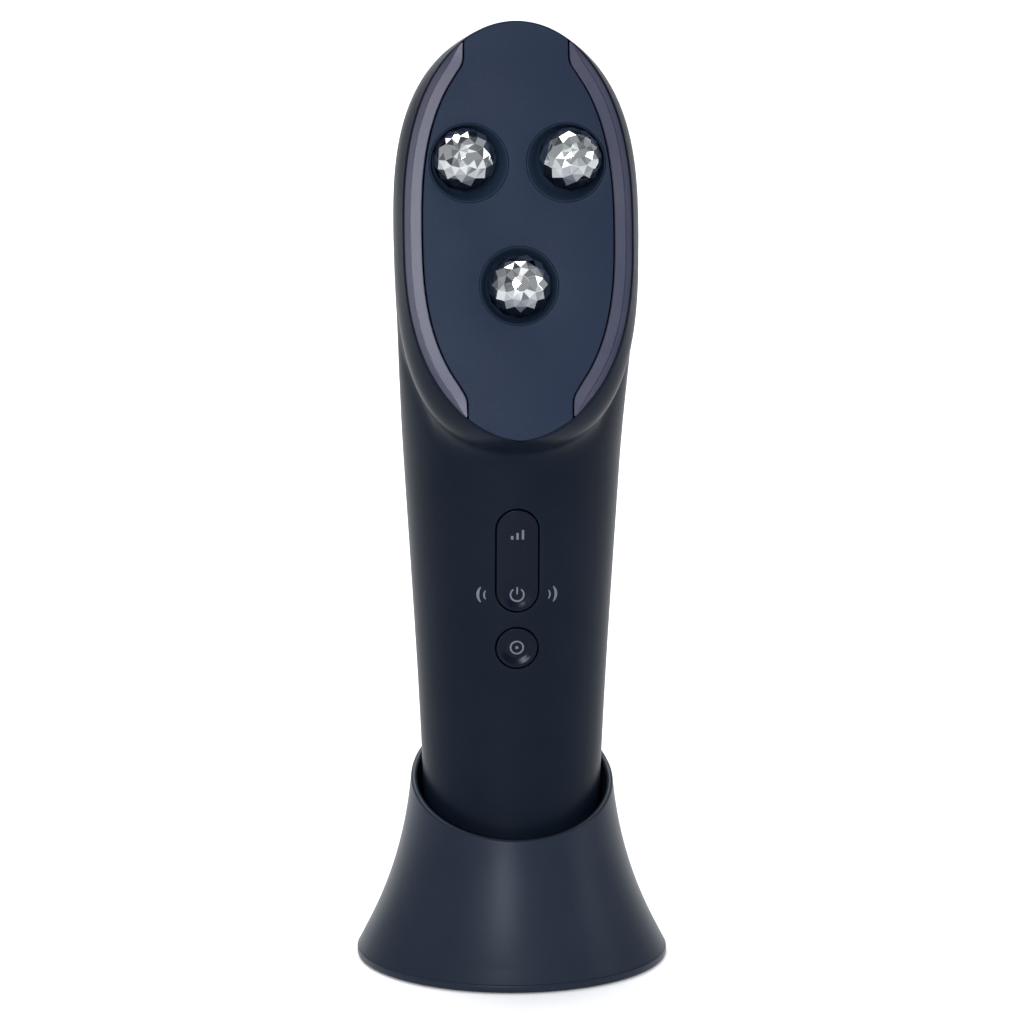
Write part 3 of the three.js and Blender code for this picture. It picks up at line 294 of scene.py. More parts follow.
def mottledPaint(name, look, dark, light, **fixed):
    # two near tones in soft clouds, and a fine grain where the look has one
    paint = Paint(name, **fixed)
    cloud = paint.noise(*look["cloud"])
    colour = paint.mix(cloud.between(*look.get("spread", cloudy)), linear(dark), linear(light))
    shine = look["rough"]
    if "cloudRough" in look:
        shine = cloud * look["cloudRough"] + shine
    if "grain" in look:
        place = paint.place
        if "stretch" in look:
            place = paint.node("ShaderNodeMapping", {}, {"Vector": place, "Scale": look["stretch"]})
        grain = paint.noise(*look["grain"], place=place)
        shine = grain * look["grainRough"] + shine
        paint.bump(grain, look["bump"])
    return paint.feed(Base_Color=colour, Roughness=shine).material


circuit = {
    "cellScale": 420, "trackSpread": (0.03, 0.06), "trackShare": 0.5, "weaveScale": 3000, "weaveRough": 0.1,
    "rough": 0.35, "bump": 0.02, "dark": "#1d5237", "light": "#2f7550",
}


def circuitPaint(name, look):
    paint = Paint(name)
    cellPlace = {"Vector": paint.place, "Scale": look["cellScale"]}
    cells = paint.node("ShaderNodeTexVoronoi", {"feature": "DISTANCE_TO_EDGE"}, cellPlace)
    tracks = 1 - cells.between(*look["trackSpread"])
    weave = paint.noise(look["weaveScale"], 1.0)
    colour = paint.mix(tracks * look["trackShare"], linear(look["dark"]), linear(look["light"]))
    paint.feed(Base_Color=colour, Roughness=weave * look["weaveRough"] + look["rough"])
    return paint.bump(tracks, look["bump"]).material


caseSatin = satinPaint("caseSatin", "#0b111b", "#0e1621", 0.4)
faceSatin = satinPaint("faceSatin", "#202838", "#232b3b", 0.48, flake=1.5, specular=0.05)
keySatin = satinPaint("keySatin", "#070b17", "#090e1b", 0.22, specular=0.11)
# the collar's tones, a little darker than the face's, are painted shade of the bowl round each dome
collarSatin = satinPaint("collarSatin", "#1a2433", "#1d2838", 0.42, flake=0.4)
holderSatin = satinPaint("holderSatin", "#191f2a", "#1d2430", 0.4, specular=0.14)
chrome = mirrorPaint("chromeFacets", mirror)
smoke = {
    "Coat_Weight": 0.12, "Coat_Roughness": 0.15,
    "Specular_IOR_Level": 0.32, "Specular_Tint": (0.86, 0.86, 1, 1),
}
lens = mottledPaint("smokedLens", mottled["lens"], "#2f3344", "#3a3a49", **smoke)
rubber = mottledPaint("softRubber", mottled["rubber"], "#101217", "#191b20")
moulding = mottledPaint("innerMoulding", mottled["moulding"], "#15181e", "#1d2128")
steel = mottledPaint("plainSteel", mottled["steel"], "#8e9195", "#a6a9ad", Metallic=1.0)
brass = mottledPaint("plainBrass", mottled["brass"], "#a88444", "#bd9a58", Metallic=1.0)
board = circuitPaint("circuitBoard", circuit)
sleeve = mottledPaint("shrinkSleeve", mottled["sleeve"], "#2c5c8c", "#3a6ea2")
ink = mottledPaint("paleInk", mottled["ink"], "#4b5159", "#5b6169")
print("finishes ready")


head = {
    "tilt": math.radians(12), "middleY": -24, "middleZ": 162.85, "halfWidth": 24.15, "halfLength": 44.15,
    "sideFlare": 1.65, "topFlare": 0, "bottomFlare": 1.3, "widestDepth": 8, "flangeDepth": 14,
    "topRounding": 14, "sideRounding": 20,
    "upper": (2, 2.5), "upperBack": (2, 2.8), "lower": (1.75, 2.65), "lowerBack": (2.7, 2.7),
    "rim": 0.15, "rimRound": 0.3, "backY": 8.6, "backSlope": -0.13, "crownFront": 4,
    "creaseSoft": 4.2, "sideSoft": 0.5, "creaseZ": (122, 156),
    "rimRings": [(0.05, 0.12), (0.09, 0.04), (0.12, 0.02), (0.15, 0.05), (0.15, 3.5)],
}
handle = {
    "halfWidth": 19.1, "widen": 0.028, "headWiden": 0.027, "front": 17.8, "frontSlope": -0.02,
    "back": 17.4, "backSlope": 0.01, "neckFront": 22.4, "neckTopZ": 122, "straightTopZ": 45,
    "bendStartZ": 108, "widenStartZ": 29.6, "caseBottomZ": 13.3, "partingBehind": 1.5, "seam": 0.3,
}
cosTilt, sinTilt = math.cos(head["tilt"]), math.sin(head["tilt"])
faceSlope = math.tan(head["tilt"])


def facePoint(x, v, depth):
    y = head["middleY"] + v * sinTilt + depth * cosTilt
    return (x, y, head["middleZ"] + v * cosTilt - depth * sinTilt)


def ovalHalf(v, halfWidth, halfLength):
    return halfWidth * np.where(v > 0, arc(v / halfLength, head["upper"]), arc(v / halfLength, head["lower"]))


widestY, widestZ = facePoint(0, 0, head["widestDepth"])[1:]


def middleLine(z):
    below = hermite(z, handle["bendStartZ"], 0, 0, widestZ, widestY, faceSlope)
    return np.where(z <= widestZ, below, widestY + (z - widestZ) * faceSlope)


def bodyField(x, y, z):
    # distance outside the body without its flared wall
    h, b = handle, head
    middle = middleLine(z)
    neck = (h["neckTopZ"], -h["neckFront"], h["frontSlope"])
    front = np.where(
        z < h["neckTopZ"],
        hermite(z, h["straightTopZ"], -h["front"], h["frontSlope"], *neck),
        hermite(z, *neck, widestZ, widestY - b["crownFront"], faceSlope))
    back = hermite(z, h["straightTopZ"], h["back"], h["backSlope"], widestZ, b["backY"], b["backSlope"])
    half = hermite(z, h["widenStartZ"], h["halfWidth"], h["widen"], widestZ, b["halfWidth"] + b["sideFlare"],
                   h["headWiden"])
    narrow = arc((z - widestZ) / cosTilt / (b["halfLength"] + b["topFlare"]), b["upperBack"])
    crown = z > widestZ
    half = np.where(crown, np.maximum(half * narrow, sliver), half)
    frontReach = np.where(crown, np.maximum(b["crownFront"] * narrow, sliver), middle - front)
    backTop = (b["backY"] + (z - widestZ) * b["backSlope"] - middle) * narrow
    backReach = np.where(crown, np.maximum(backTop, sliver), back - middle)
    dy = y - middle
    reach = np.where(dy > 0, backReach, frontReach)
    size = np.sqrt((x / half) ** 2 + (dy / reach) ** 2) + tiny
    return np.sqrt(x**2 + dy**2) * (1 - 1 / size)


def flangeField(x, y, z):
    # distance outside the flared wall behind the face
    b = head
    dy, dz = y - b["middleY"], z - b["middleZ"]
    v, depth = dy * sinTilt + dz * cosTilt, dy * cosTilt - dz * sinTilt
    flare = np.sin(np.clip(depth / b["widestDepth"], 0, 1) * math.pi / 2)
    past = np.maximum(0, depth - b["widestDepth"])
    roundTop = np.sqrt(np.maximum(hair, 1 - (past / b["topRounding"]) ** 2))
    roundSide = np.sqrt(np.maximum(hair, 1 - (past / b["sideRounding"]) ** 2))
    wide = (b["halfWidth"] + b["sideFlare"] * flare) * roundSide
    tall = np.where(v > 0, (b["halfLength"] + b["topFlare"] * flare) * roundTop,
                    b["halfLength"] + b["bottomFlare"] * flare)
    shape = [np.where(v > 0, lerp(b["upper"][i], b["upperBack"][i], flare),
                      lerp(b["lower"][i], b["lowerBack"][i], flare)) for i in (0, 1)]
    u, w = np.abs(x / wide) + tiny, np.abs(v / tall) + tiny
    steep = np.hypot(shape[0] / wide * u ** (shape[0] - 1), shape[1] / tall * w ** (shape[1] - 1))
    side = (u ** shape[0] + w ** shape[1] - 1) / (steep + hair)
    return np.maximum(side, np.maximum(depth - b["flangeDepth"], -depth))


def brushField(x, y, z):
    a, b = bodyField(x, y, z), flangeField(x, y, z)
    soft = lerp(head["creaseSoft"], head["sideSoft"], smooth(z, *head["creaseZ"]))
    near = np.maximum(soft - np.abs(a - b), 0) / soft
    return np.minimum(a, b) - near**2 * soft / 4


def outwards(points, step=0.05):
    x, y, z = points[..., 0], points[..., 1], points[..., 2]
    slope = np.stack([
        brushField(x + step, y, z) - brushField(x - step, y, z),
        brushField(x, y + step, z) - brushField(x, y - step, z),
        brushField(x, y, z + step) - brushField(x, y, z - step)], axis=-1)
    return slope / np.maximum(np.linalg.norm(slope, axis=-1, keepdims=True), tiny)


def reachFrom(x, y, z, dx, dy, far=60.0, rounds=34):
    # how far from a point inside the brush its surface lies, going level
    low, high = np.zeros(np.shape(x + dx + y)), np.full(np.shape(x + dx + y), far)
    for _ in range(rounds):
        middle = (low + high) / 2
        inside = brushField(x + dx * middle, y + dy * middle, z) < 0
        low, high = np.where(inside, middle, low), np.where(inside, high, middle)
    return (low + high) / 2


def frontY(x, z):
    middle = middleLine(z)
    return middle - reachFrom(x, middle, z, np.zeros_like(x), -np.ones_like(x))


housing = {
    "rays": 260, "frontColumns": 52, "rearColumns": 46, "faceLevels": 190, "lowLevels": 150, "chinLevels": 44,
    "chinZ": 113.2, "lip": [(0.3, 0.0), (0.12, 0.04), (0.03, 0.13), (0.0, 0.3), (0.0, 1.2)],
    "tongue": (-0.9, 1.25), "leastRear": 0.4,
}


def faceHeights(count):
    # heights along the face that follow its oval evenly
    s = np.sin(np.linspace(-math.pi / 2, math.pi / 2, count + 1))
    power = np.where(s > 0, 2 / head["upper"][1], 2 / head["lower"][1])
    return np.sign(s) * np.abs(s) ** power


def housingLevels():
    # half outlines of the brush, level by level, from its front middle or face edge to its back middle
    u = housing
    along = faceHeights(u["faceLevels"]) * head["halfLength"]
    faceZ = head["middleZ"] + along * cosTilt - head["rimRound"] * sinTilt
    low = np.concatenate([
        np.linspace(handle["caseBottomZ"], u["chinZ"], u["lowLevels"], endpoint=False),
        np.linspace(u["chinZ"], faceZ[0], u["chinLevels"], endpoint=False)])
    z = np.concatenate([low, faceZ])
    onFace = np.concatenate([np.zeros(len(low), bool), np.ones(len(faceZ), bool)])
    zero = np.zeros_like(z)
    faceY = head["middleY"] + (head["rimRound"] + (z - head["middleZ"]) * sinTilt) / cosTilt
    front = np.where(onFace, faceY, frontY(zero, z))
    inside = np.where(onFace, faceY + sliver, middleLine(z))
    back = inside + reachFrom(zero, inside, z, zero, zero + 1)
    corner = np.where(onFace, reachFrom(zero, front, z, zero + 1, zero), 0)
    centre = (front + back) / 2
    start = np.arctan2(front - centre, np.maximum(corner, tiny))
    share = np.linspace(0, 1, u["rays"])[None, :]
    angle = start[:, None] + (math.pi / 2 - start[:, None]) * share
    dx, dy = np.cos(angle), np.sin(angle)
    reach = reachFrom(np.zeros_like(angle), centre[:, None], z[:, None], dx, dy)
    x, y = dx * reach, centre[:, None] + dy * reach
    x[:, 0], y[:, 0], x[:, -1] = corner, front, 0
    return z, onFace, x, y


def placed(x, y, z, at, inward=0.0):
    # points of one level at given lengths along its outline, taken in along the surface's normal
    length = np.concatenate([[0], np.cumsum(np.hypot(np.diff(x), np.diff(y)))])
    points = np.stack([np.interp(at, length, x), np.interp(at, length, y), np.full(len(at), z)], axis=-1)
    if np.any(inward):
        points = points - outwards(points) * np.reshape(inward, (-1, 1))
    return points


def partingLength(x, y, z):
    length = np.concatenate([[0], np.cumsum(np.hypot(np.diff(x), np.diff(y)))])
    line = middleLine(z) + handle["partingBehind"]
    return (length[-1] if y[-1] <= line else float(np.interp(line, y, length))), length[-1]


# a dish is its height, radius, depth and the share of it that is flat
keys = {
    "pill": {"z": 91.8, "halfLength": 11.1, "halfWidth": 4.4, "gap": 0.35, "dish": (84.3, 3.7, 0.5, 0.3)},
    "round": {"z": 72.5, "halfLength": 4.35, "halfWidth": 4.35, "gap": 0.35, "dish": (72.5, 4.1, 0.6, 0.5)},
}
keyForm = {
    "sides": 64, "straight": 26, "dishRings": 18, "cleared": 0.75, "frontOfY": -10,
    "openingEdge": [(0.08, 0.0), (0.03, 0.02), (0.0, 0.07), (0.0, 0.2), (0.0, 3.0)],
    "keyEdge": [(0.0, 2.2), (0.0, 0.2), (0.01, 0.08), (0.05, 0.025), (0.12, 0.005)],
}


def keyOutline(key, offset):
    # points round a key, and its middle line beside each
    straight = key["halfLength"] - key["halfWidth"]
    n = keyForm["sides"] // 2
    points, spine = [], []
    for side in (1, -1):
        for i in range(n + 1):
            a = math.pi * i / n if side > 0 else math.pi * (1 + i / n)
            points.append((math.cos(a) * (key["halfWidth"] + offset),
                           key["z"] + side * straight + math.sin(a) * (key["halfWidth"] + offset)))
            spine.append(key["z"] + side * straight)
        if straight > tiny:
            for i in range(1, keyForm["straight"]):
                t = i / keyForm["straight"]
                points.append((-side * (key["halfWidth"] + offset), key["z"] + side * straight * (1 - 2 * t)))
                spine.append(key["z"] + side * straight * (1 - 2 * t))
    return np.array(points), np.array(spine)


def frontRing(flat, depth):
    y = frontY(flat[:, 0], flat[:, 1]) + depth
    return np.stack([flat[:, 0], y, flat[:, 1]], axis=-1)


def openKeyholes(skin):
    # takes the case away round each key and fills up to a rounded edge
    points = np.array(skin.points)
    gone = np.zeros(len(points), bool)
    for key in keys.values():
        past = np.maximum(np.abs(points[:, 2] - key["z"]) - (key["halfLength"] - key["halfWidth"]), 0)
        outside = np.hypot(points[:, 0], past) - key["halfWidth"] - key["gap"]
        gone |= (outside < keyForm["cleared"]) & (points[:, 1] < keyForm["frontOfY"])
    kept = [f for f in skin.faces if not any(gone[i] for i in f)]
    count = {}
    for f in skin.faces:
        if any(gone[i] for i in f):
            for a, b in zip(f, f[1:] + f[:1]):
                count[tuple(sorted((a, b)))] = count.get(tuple(sorted((a, b))), 0) + 1
    border = [edge for edge, times in count.items() if times == 1]
    skin.faces = kept
    for key in keys.values():
        rings = []
        for offset, depth in keyForm["openingEdge"]:
            flat, _ = keyOutline(key, key["gap"] + offset)
            rings.append(skin.row(frontRing(flat, depth)))
        skin.rows(rings, closed=True)
        border += list(zip(rings[0], rings[0][1:] + rings[0][:1]))
    skin.fill(border, lambda p: (p[0], p[2]))


def buildHousing():
    z, onFace, xs, ys = housingLevels()
    u = housing
    lip = u["lip"]
    front, rear = Skin(), Skin()
    frontRows = {1: [], -1: []}
    rearRows = []
    half = handle["seam"] / 2
    for level in range(len(z)):
        parting, whole = partingLength(xs[level], ys[level], z[level])
        parted = parting < whole - u["leastRear"]
        end = parting - half if parted else whole
        main = np.linspace(0, max(end - (lip[0][0] if parted else 0), 0), u["frontColumns"])
        edge = np.array([end - (inset if parted else 0) for inset, _ in lip])
        deep = np.array([depth if parted else 0 for _, depth in lip])
        row = placed(xs[level], ys[level], z[level], np.concatenate([main, edge[1:]]),
                     np.concatenate([np.zeros(len(main)), deep[1:]]))
        for side in (1, -1):
            frontRows[side].append(front.row(row * [side, 1, 1]))
        if parted:
            start = parting + half
            main = np.linspace(start + lip[0][0], max(whole, start + lip[0][0]), u["rearColumns"])
            edge = np.array([start + inset for inset, _ in [*lip, u["tongue"]]])[::-1]
            deep = np.array([depth for _, depth in [*lip, u["tongue"]]])[::-1]
            right = placed(xs[level], ys[level], z[level], np.concatenate([edge[:-1], main]),
                           np.concatenate([deep[:-1], np.zeros(len(main))]))
            left = (right * [-1, 1, 1])[::-1][1:]
            rearRows.append(rear.row(np.concatenate([right, left])))
    for side in (1, -1):
        front.rows(frontRows[side])
    rear.rows(rearRows)
    # rounded rim of the face and the wall of its pocket
    first = int(np.argmax(onFace))
    share = faceHeights(u["faceLevels"])
    for side in (1, -1):
        rings = [[row[0] for row in frontRows[side][first:]]]
        for inset, depth in head["rimRings"]:
            v = share * (head["halfLength"] - inset)
            x = ovalHalf(v, head["halfWidth"] - inset, head["halfLength"] - inset)
            rings.append(front.row([facePoint(side * a, b, depth) for a, b in zip(x, v)]))
        front.rows(rings)
    front.weld()
    openKeyholes(front)
    front.piece("frontHousing", "brush", "case", caseSatin, ["front_case"])
    rear.piece("rearHousing", "brush", "case", caseSatin, ["rear_case"])


buildHousing()
print("housing ready")


def keyDepth(key, flat):
    # how deep the top of a key lies under the case's surface at flat points
    at, radius, depth, level = key["dish"]
    away = np.hypot(flat[:, 0], flat[:, 1] - at) / radius
    return keyForm["keyEdge"][-1][1] + depth * (1 - smooth(away, level, 1.0))


def buildKey(key, name, node, body):
    skin = Skin()
    rings = []
    for inset, depth in keyForm["keyEdge"]:
        flat = keyOutline(key, -inset)[0]
        rings.append(skin.row(frontRing(flat, depth)))
    edge, spine = keyOutline(key, -keyForm["keyEdge"][-1][0])
    for i in range(1, keyForm["dishRings"] + 1):
        t = 1 - i / keyForm["dishRings"]
        flat = np.stack([edge[:, 0] * t, spine + (edge[:, 1] - spine) * t], axis=-1)
        rings.append(skin.row(frontRing(flat, keyDepth(key, flat))))
    skin.rows(rings, closed=True)
    skin.piece(name, body, "key", keySatin, [node], sharp=50)


buildKey(keys["pill"], "pillKeyCap", "pill_key", "pill_key")
buildKey(keys["round"], "roundKeyCap", "round_key", "round_key")

marks = {
    "high": 0.03, "sunk": -0.05,
    "power": {"z": 84.25, "radius": 1.42, "turns": (125, 415, 40), "width": 0.34},
    "powerBar": {"heights": (84.35, 85.0, 85.95), "width": 0.34},
    "level": {"z": 96.5, "apart": 1.15, "tall": (0.8, 1.45, 2.1), "width": 0.5},
    "mode": {"radius": 1.35, "turns": (0, 351, 40), "width": 0.34},
    "dot": {"radius": 0.17, "turns": (0, 330, 12), "width": 0.34},
    "waveZ": 84.2,
    "outerWave": {"x": 5.75, "radius": 2.6, "turn": 40, "count": 26, "width": 0.22, "swell": 0.4},
    "innerWave": {"x": 5.5, "radius": 1.55, "turn": 38, "count": 26, "width": 0.2, "swell": 0.18},
}


def strokeMark(name, body, path, width, key=None, closed=False, swell=0.0):
    # a printed line that lies on the surface under it, thicker at its middle by the swell
    path = np.array(path, float)
    width = width + swell * np.sin(np.linspace(0, math.pi, len(path)))[:, None]
    ahead = np.roll(path, -1, axis=0) - np.roll(path, 1, axis=0)
    if not closed:
        ahead[0], ahead[-1] = path[1] - path[0], path[-1] - path[-2]
    ahead /= np.maximum(np.linalg.norm(ahead, axis=1, keepdims=True), tiny)
    side = np.stack([-ahead[:, 1], ahead[:, 0]], axis=-1) * width / 2
    skin = Skin()
    rings = []
    for flat, lift in ((path - side, marks["sunk"]), (path - side, marks["high"]),
                       (path + side, marks["high"]), (path + side, marks["sunk"])):
        deep = keyDepth(key, flat) if key else 0
        ring = skin.row(frontRing(flat, deep - lift))
        rings.append(ring + ring[:1] if closed else ring)
    skin.rows(rings)
    skin.piece(name, body, "key", ink, outward=False)


def bow(x, z, radius, start, end, count):
    turns = np.radians(np.linspace(start, end, count))
    return [(x + radius * math.cos(a), z + radius * math.sin(a)) for a in turns]


def printMarks():
    pill, power, level = keys["pill"], marks["power"], marks["level"]
    mode, dot = marks["mode"], marks["dot"]
    ring = bow(0, power["z"], power["radius"], *power["turns"])
    strokeMark("powerRing", "pill_key", ring, power["width"], pill)
    bar = [(0, z) for z in marks["powerBar"]["heights"]]
    strokeMark("powerBar", "pill_key", bar, marks["powerBar"]["width"], pill)
    for i, tall in enumerate(level["tall"]):
        x = (i - 1) * level["apart"]
        line = [(x, level["z"] + tall * share) for share in (0, 0.5, 1)]
        strokeMark(f"levelBar{i + 1}", "pill_key", line, level["width"], pill)
    middle = keys["round"]["z"]
    ring = bow(0, middle, mode["radius"], *mode["turns"])
    strokeMark("modeRing", "round_key", ring, mode["width"], keys["round"], closed=True)
    spot = bow(0, middle, dot["radius"], *dot["turns"])
    strokeMark("modeDot", "round_key", spot, dot["width"], keys["round"], closed=True)
    for side, word, facing in ((-1, "Left", 180), (1, "Right", 0)):
        for name in ("outerWave", "innerWave"):
            wave = marks[name]
            turns = (facing - wave["turn"], facing + wave["turn"], wave["count"])
            line = bow(side * wave["x"], marks["waveZ"], wave["radius"], *turns)
            strokeMark(name + word, "brush", line, wave["width"], swell=wave["swell"])


printMarks()
print("keys and marks ready")


plate = {
    "gap": 0.3, "strip": 3.75, "lobe": 11.2, "hookEnd": 38.2, "hookLength": 5.2, "hookSoft": 2.4,
    "heights": 240, "rimShare": 0.3,
    "edge": [(0.0, 2.4), (0.0, 0.25), (0.03, 0.1), (0.08, 0.03), (0.16, 0.0)],
    "holeSides": 120, "holeEdge": [(-0.2, 2.4), (-0.2, 0.25), (-0.18, 0.1), (-0.12, 0.02), (-0.02, 0.0)],
    "land": 0.45, "pairGap": 3.3, "upperV": 14.3, "lowerV": -11.5, "leanOut": 13, "leanUp": 11,
}


def plateHalf(v, inset):
    rimInset = head["rim"] + inset * plate["rimShare"]
    rimLine = ovalHalf(v, head["halfWidth"] - rimInset, head["halfLength"] - rimInset)
    drawnWidth = head["halfWidth"] - head["rim"] - plate["strip"] - inset
    drawn = ovalHalf(v, drawnWidth, head["halfLength"] - plate["strip"] - inset)
    turn = smooth(plate["hookEnd"] - np.abs(v), 0, plate["hookLength"])
    lobe = plate["lobe"] - inset
    near = np.maximum(plate["hookSoft"] - np.abs(lobe - drawn), 0) / plate["hookSoft"]
    wide = np.maximum(lobe, drawn) + near**2 * plate["hookSoft"] / 4
    return np.minimum(rimLine, lerp(lobe, wide, turn))


def plateLoop(inset):
    length = head["halfLength"] - head["rim"] - inset * plate["rimShare"]
    v = np.sin(np.linspace(-math.pi / 2, math.pi / 2, plate["heights"])) * length
    x = plateHalf(v, inset)
    return list(zip(x, v)) + list(zip(-x[::-1][1:-1], v[::-1][1:-1]))


# hole radius and places of the tips: x, v, lean out and lean up
holeRadius = (float(plateHalf(plate["upperV"], plate["gap"])) - plate["land"] - plate["pairGap"] / 2) / 2
pairX = holeRadius + plate["pairGap"] / 2
tips = {
    "left": (-pairX, plate["upperV"], -plate["leanOut"], plate["leanUp"]),
    "right": (pairX, plate["upperV"], plate["leanOut"], plate["leanUp"]),
    "lower": (0, plate["lowerV"], 0, 0),
}


def faceCircle(x, v, radius, depth, sides):
    turns = np.linspace(0, 2 * math.pi, sides, endpoint=False)
    return [facePoint(x + radius * math.cos(a), v + radius * math.sin(a), depth) for a in turns]


def acrossFace(point):
    # a point as seen square on to the face
    return (point[0], (point[1] - head["middleY"]) * sinTilt + (point[2] - head["middleZ"]) * cosTilt)


def buildPlate():
    skin = Skin()
    outer = [skin.row([facePoint(x, v, depth) for x, v in plateLoop(plate["gap"] + inset)])
             for inset, depth in plate["edge"]]
    skin.rows(outer, closed=True)
    edges = list(zip(outer[-1], outer[-1][1:] + outer[-1][:1]))
    for x, v, _, _ in tips.values():
        rings = [skin.row(faceCircle(x, v, holeRadius + extra, depth, plate["holeSides"]))
                 for extra, depth in plate["holeEdge"]]
        skin.rows(rings, closed=True)
        edges += list(zip(rings[-1], rings[-1][1:] + rings[-1][:1]))
    skin.fill(edges, acrossFace)
    skin.piece("facePanel", "brush", "face", faceSatin, ["face_plate"], sharp=50)


buildPlate()

# the profile gives shares of the width and depths, with a groove beside its outer band
light = {
    "thick": 1.6, "endWidth": 0.35, "heights": 150, "seatGap": 0.05, "fullWidth": 3.0,
    "tries": 1600, "endGap": 1,
    "profile": [
        (0.0, 0.3), (0.02, 0.12), (0.06, 0.02), (0.6, 0.09), (0.615, 0.22), (0.645, 0.24), (0.665, 0.1),
        (0.95, 0.42), (0.985, 0.5), (1.0, 0.65)],
}


def lightEdges(v):
    # inner and outer edge of the light guide at heights on the face
    outer = ovalHalf(v, head["halfWidth"] - head["rim"], head["halfLength"] - head["rim"])
    return plateHalf(v, plate["gap"]) + plate["gap"], outer - light["seatGap"]


def buildLight(side, name, node):
    reach = head["halfLength"] - light["endGap"]
    v = np.linspace(-reach, reach, light["tries"])
    innerX, outerX = lightEdges(v)
    whole = v[outerX - innerX > light["endWidth"]]
    steps = (1 - np.cos(np.linspace(0, math.pi, light["heights"]))) / 2
    skin = Skin()
    rows = []
    for height in lerp(whole[0], whole[-1], steps):
        innerX, outerX = (float(x) for x in lightEdges(height))
        wide = outerX - innerX
        deep = min(1, wide / light["fullWidth"])
        profile = [(innerX + share * wide, depth * deep) for share, depth in light["profile"]]
        profile = [(innerX, light["thick"]), *profile, (outerX, light["thick"])]
        rows.append(skin.row([facePoint(side * x, height, depth) for x, depth in profile]))
    skin.rows(rows, closed=True)
    skin.cap(rows[0])
    skin.cap(rows[-1])
    skin.piece(name, "brush", "light", lens, [node], sharp=14)


buildLight(-1, "lightGuideLeft", "light_strip_left")
buildLight(1, "lightGuideRight", "light_strip_right")

# the lip gives widths added and depths, the slope shares of the way in and depths
collar = {
    "width": 1.75, "pivot": 3.6, "gap": 0.12, "sides": 96, "outside": 0.24, "lipWidth": 0.22,
    "lip": [(0.0, 3.0), (0.0, 0.2), (-0.02, 0.1), (-0.07, 0.06)],
    "slope": [(0.0, 0.07), (0.06, 0.13), (0.2, 0.36), (0.45, 0.85), (0.75, 1.45), (1.0, 2.1)],
    "floorWidth": 1.0, "floor": (2.3, 3.0),
}


def buildCollar(name, node, x, v, leanOut, leanUp):
    # a bowl that falls from a soft lip under the face to the dome, which stands off its middle
    c = collar
    skin = Skin()
    out, up = math.radians(leanOut), math.radians(leanUp)
    offset = (c["pivot"] * math.sin(out) * math.cos(up), c["pivot"] * math.sin(up))
    outer = holeRadius - c["outside"]
    bowl = holeRadius - c["width"] + c["gap"]
    profile = [(outer + added, 0, depth) for added, depth in c["lip"]]
    profile += [(lerp(outer - c["lipWidth"], bowl, t), t, depth) for t, depth in c["slope"]]
    profile += [(bowl - c["floorWidth"], 1, depth) for depth in c["floor"]]
    rows = [skin.row(faceCircle(x + offset[0] * t, v + offset[1] * t, r, depth, c["sides"]))
            for r, t, depth in profile]
    skin.rows(rows, closed=True)
    skin.piece(name, "brush", "collar", collarSatin, [node], sharp=60)


tipEdge = {"merge": 0.01 * mm, "bevel": 0.05 * mm, "angle": math.radians(6)}
for word, place in tips.items():
    buildCollar(f"tipSeat{word.title()}", f"tip_collar_{word}", *place)
    tip = nodes[f"tip_{word}"]
    weldStep = tip.modifiers.new("weldEdges", "WELD")
    weldStep.merge_threshold = tipEdge["merge"]
    bevel = tip.modifiers.new("softEdges", "BEVEL")
    bevel.width, bevel.segments = tipEdge["bevel"], 1
    bevel.limit_method, bevel.angle_limit = "ANGLE", tipEdge["angle"]
print("face ready")


# edges are given as insets with heights: the low edge over the bottom, the groove from the band's top
holder = {
    "rimRadius": 21.9, "baseRadius": 34, "wall": 1.4, "rimZ": 40.5, "rimTilt": math.radians(22),
    "rimRounds": 12, "straightZ": 42, "even": 0.28, "power": 2.25,
    "bottomZ": 0.3, "lowEdge": [(1.4, 0), (0.35, 0), (0.1, 0.1), (0, 0.35)],
    "bandTop": 2.0, "groove": [(0, -0.25), (0.08, -0.06), (0.3, 0.02)], "overGroove": 0.06,
    "setBack": 0.12, "setBackHeight": 3,
    "sides": 192, "steps": 70, "crowding": 1.25, "lipSteps": 10, "insideSteps": 40,
    "footRadius": 31.5, "footSides": 128, "footEdge": [(0.4, 0), (0.1, 0.1), (0, 0.4), (0, 1.3)],
}


def flareRadius(z):
    h = holder
    t = np.clip((h["straightZ"] - z) / (h["straightZ"] - h["bandTop"]), 0, 1)
    share = h["even"] * t + (1 - h["even"]) * t ** h["power"]
    return h["rimRadius"] + (h["baseRadius"] - h["rimRadius"]) * share


def flareWall(z):
    # the wall's outside, set back a little just over the groove
    back = holder["setBack"] * (1 - min(1, (z - holder["bandTop"]) / holder["setBackHeight"]))
    return (float(flareRadius(z)) - back, z)


def holderProfile(turn):
    # the holder's section at one turn round it, from the inside of its foot over the rim and back down
    h = holder
    lipRadius = h["wall"] / 2
    top = h["rimZ"]
    for _ in range(h["rimRounds"]):
        top = h["rimZ"] + float(flareRadius(top)) * math.sin(turn) * math.tan(h["rimTilt"])
    top -= lipRadius
    profile = [(h["baseRadius"] - inset, h["bottomZ"] + z) for inset, z in h["lowEdge"]]
    profile += [(h["baseRadius"] - inset, h["bandTop"] + z) for inset, z in h["groove"]]
    steps = np.linspace(0, 1, h["steps"]) ** h["crowding"]
    profile += [flareWall(z) for z in lerp(h["bandTop"] + h["overGroove"], top, steps)]
    middle = float(flareRadius(top)) - lipRadius
    profile += [(middle + lipRadius * math.cos(b), top + lipRadius * math.sin(b))
                for b in np.linspace(0, math.pi, h["lipSteps"] + 1)[1:]]
    down = lerp(top, h["bandTop"], np.linspace(0, 1, h["insideSteps"]))[1:]
    return profile + [(float(flareRadius(z)) - h["wall"], z) for z in down]


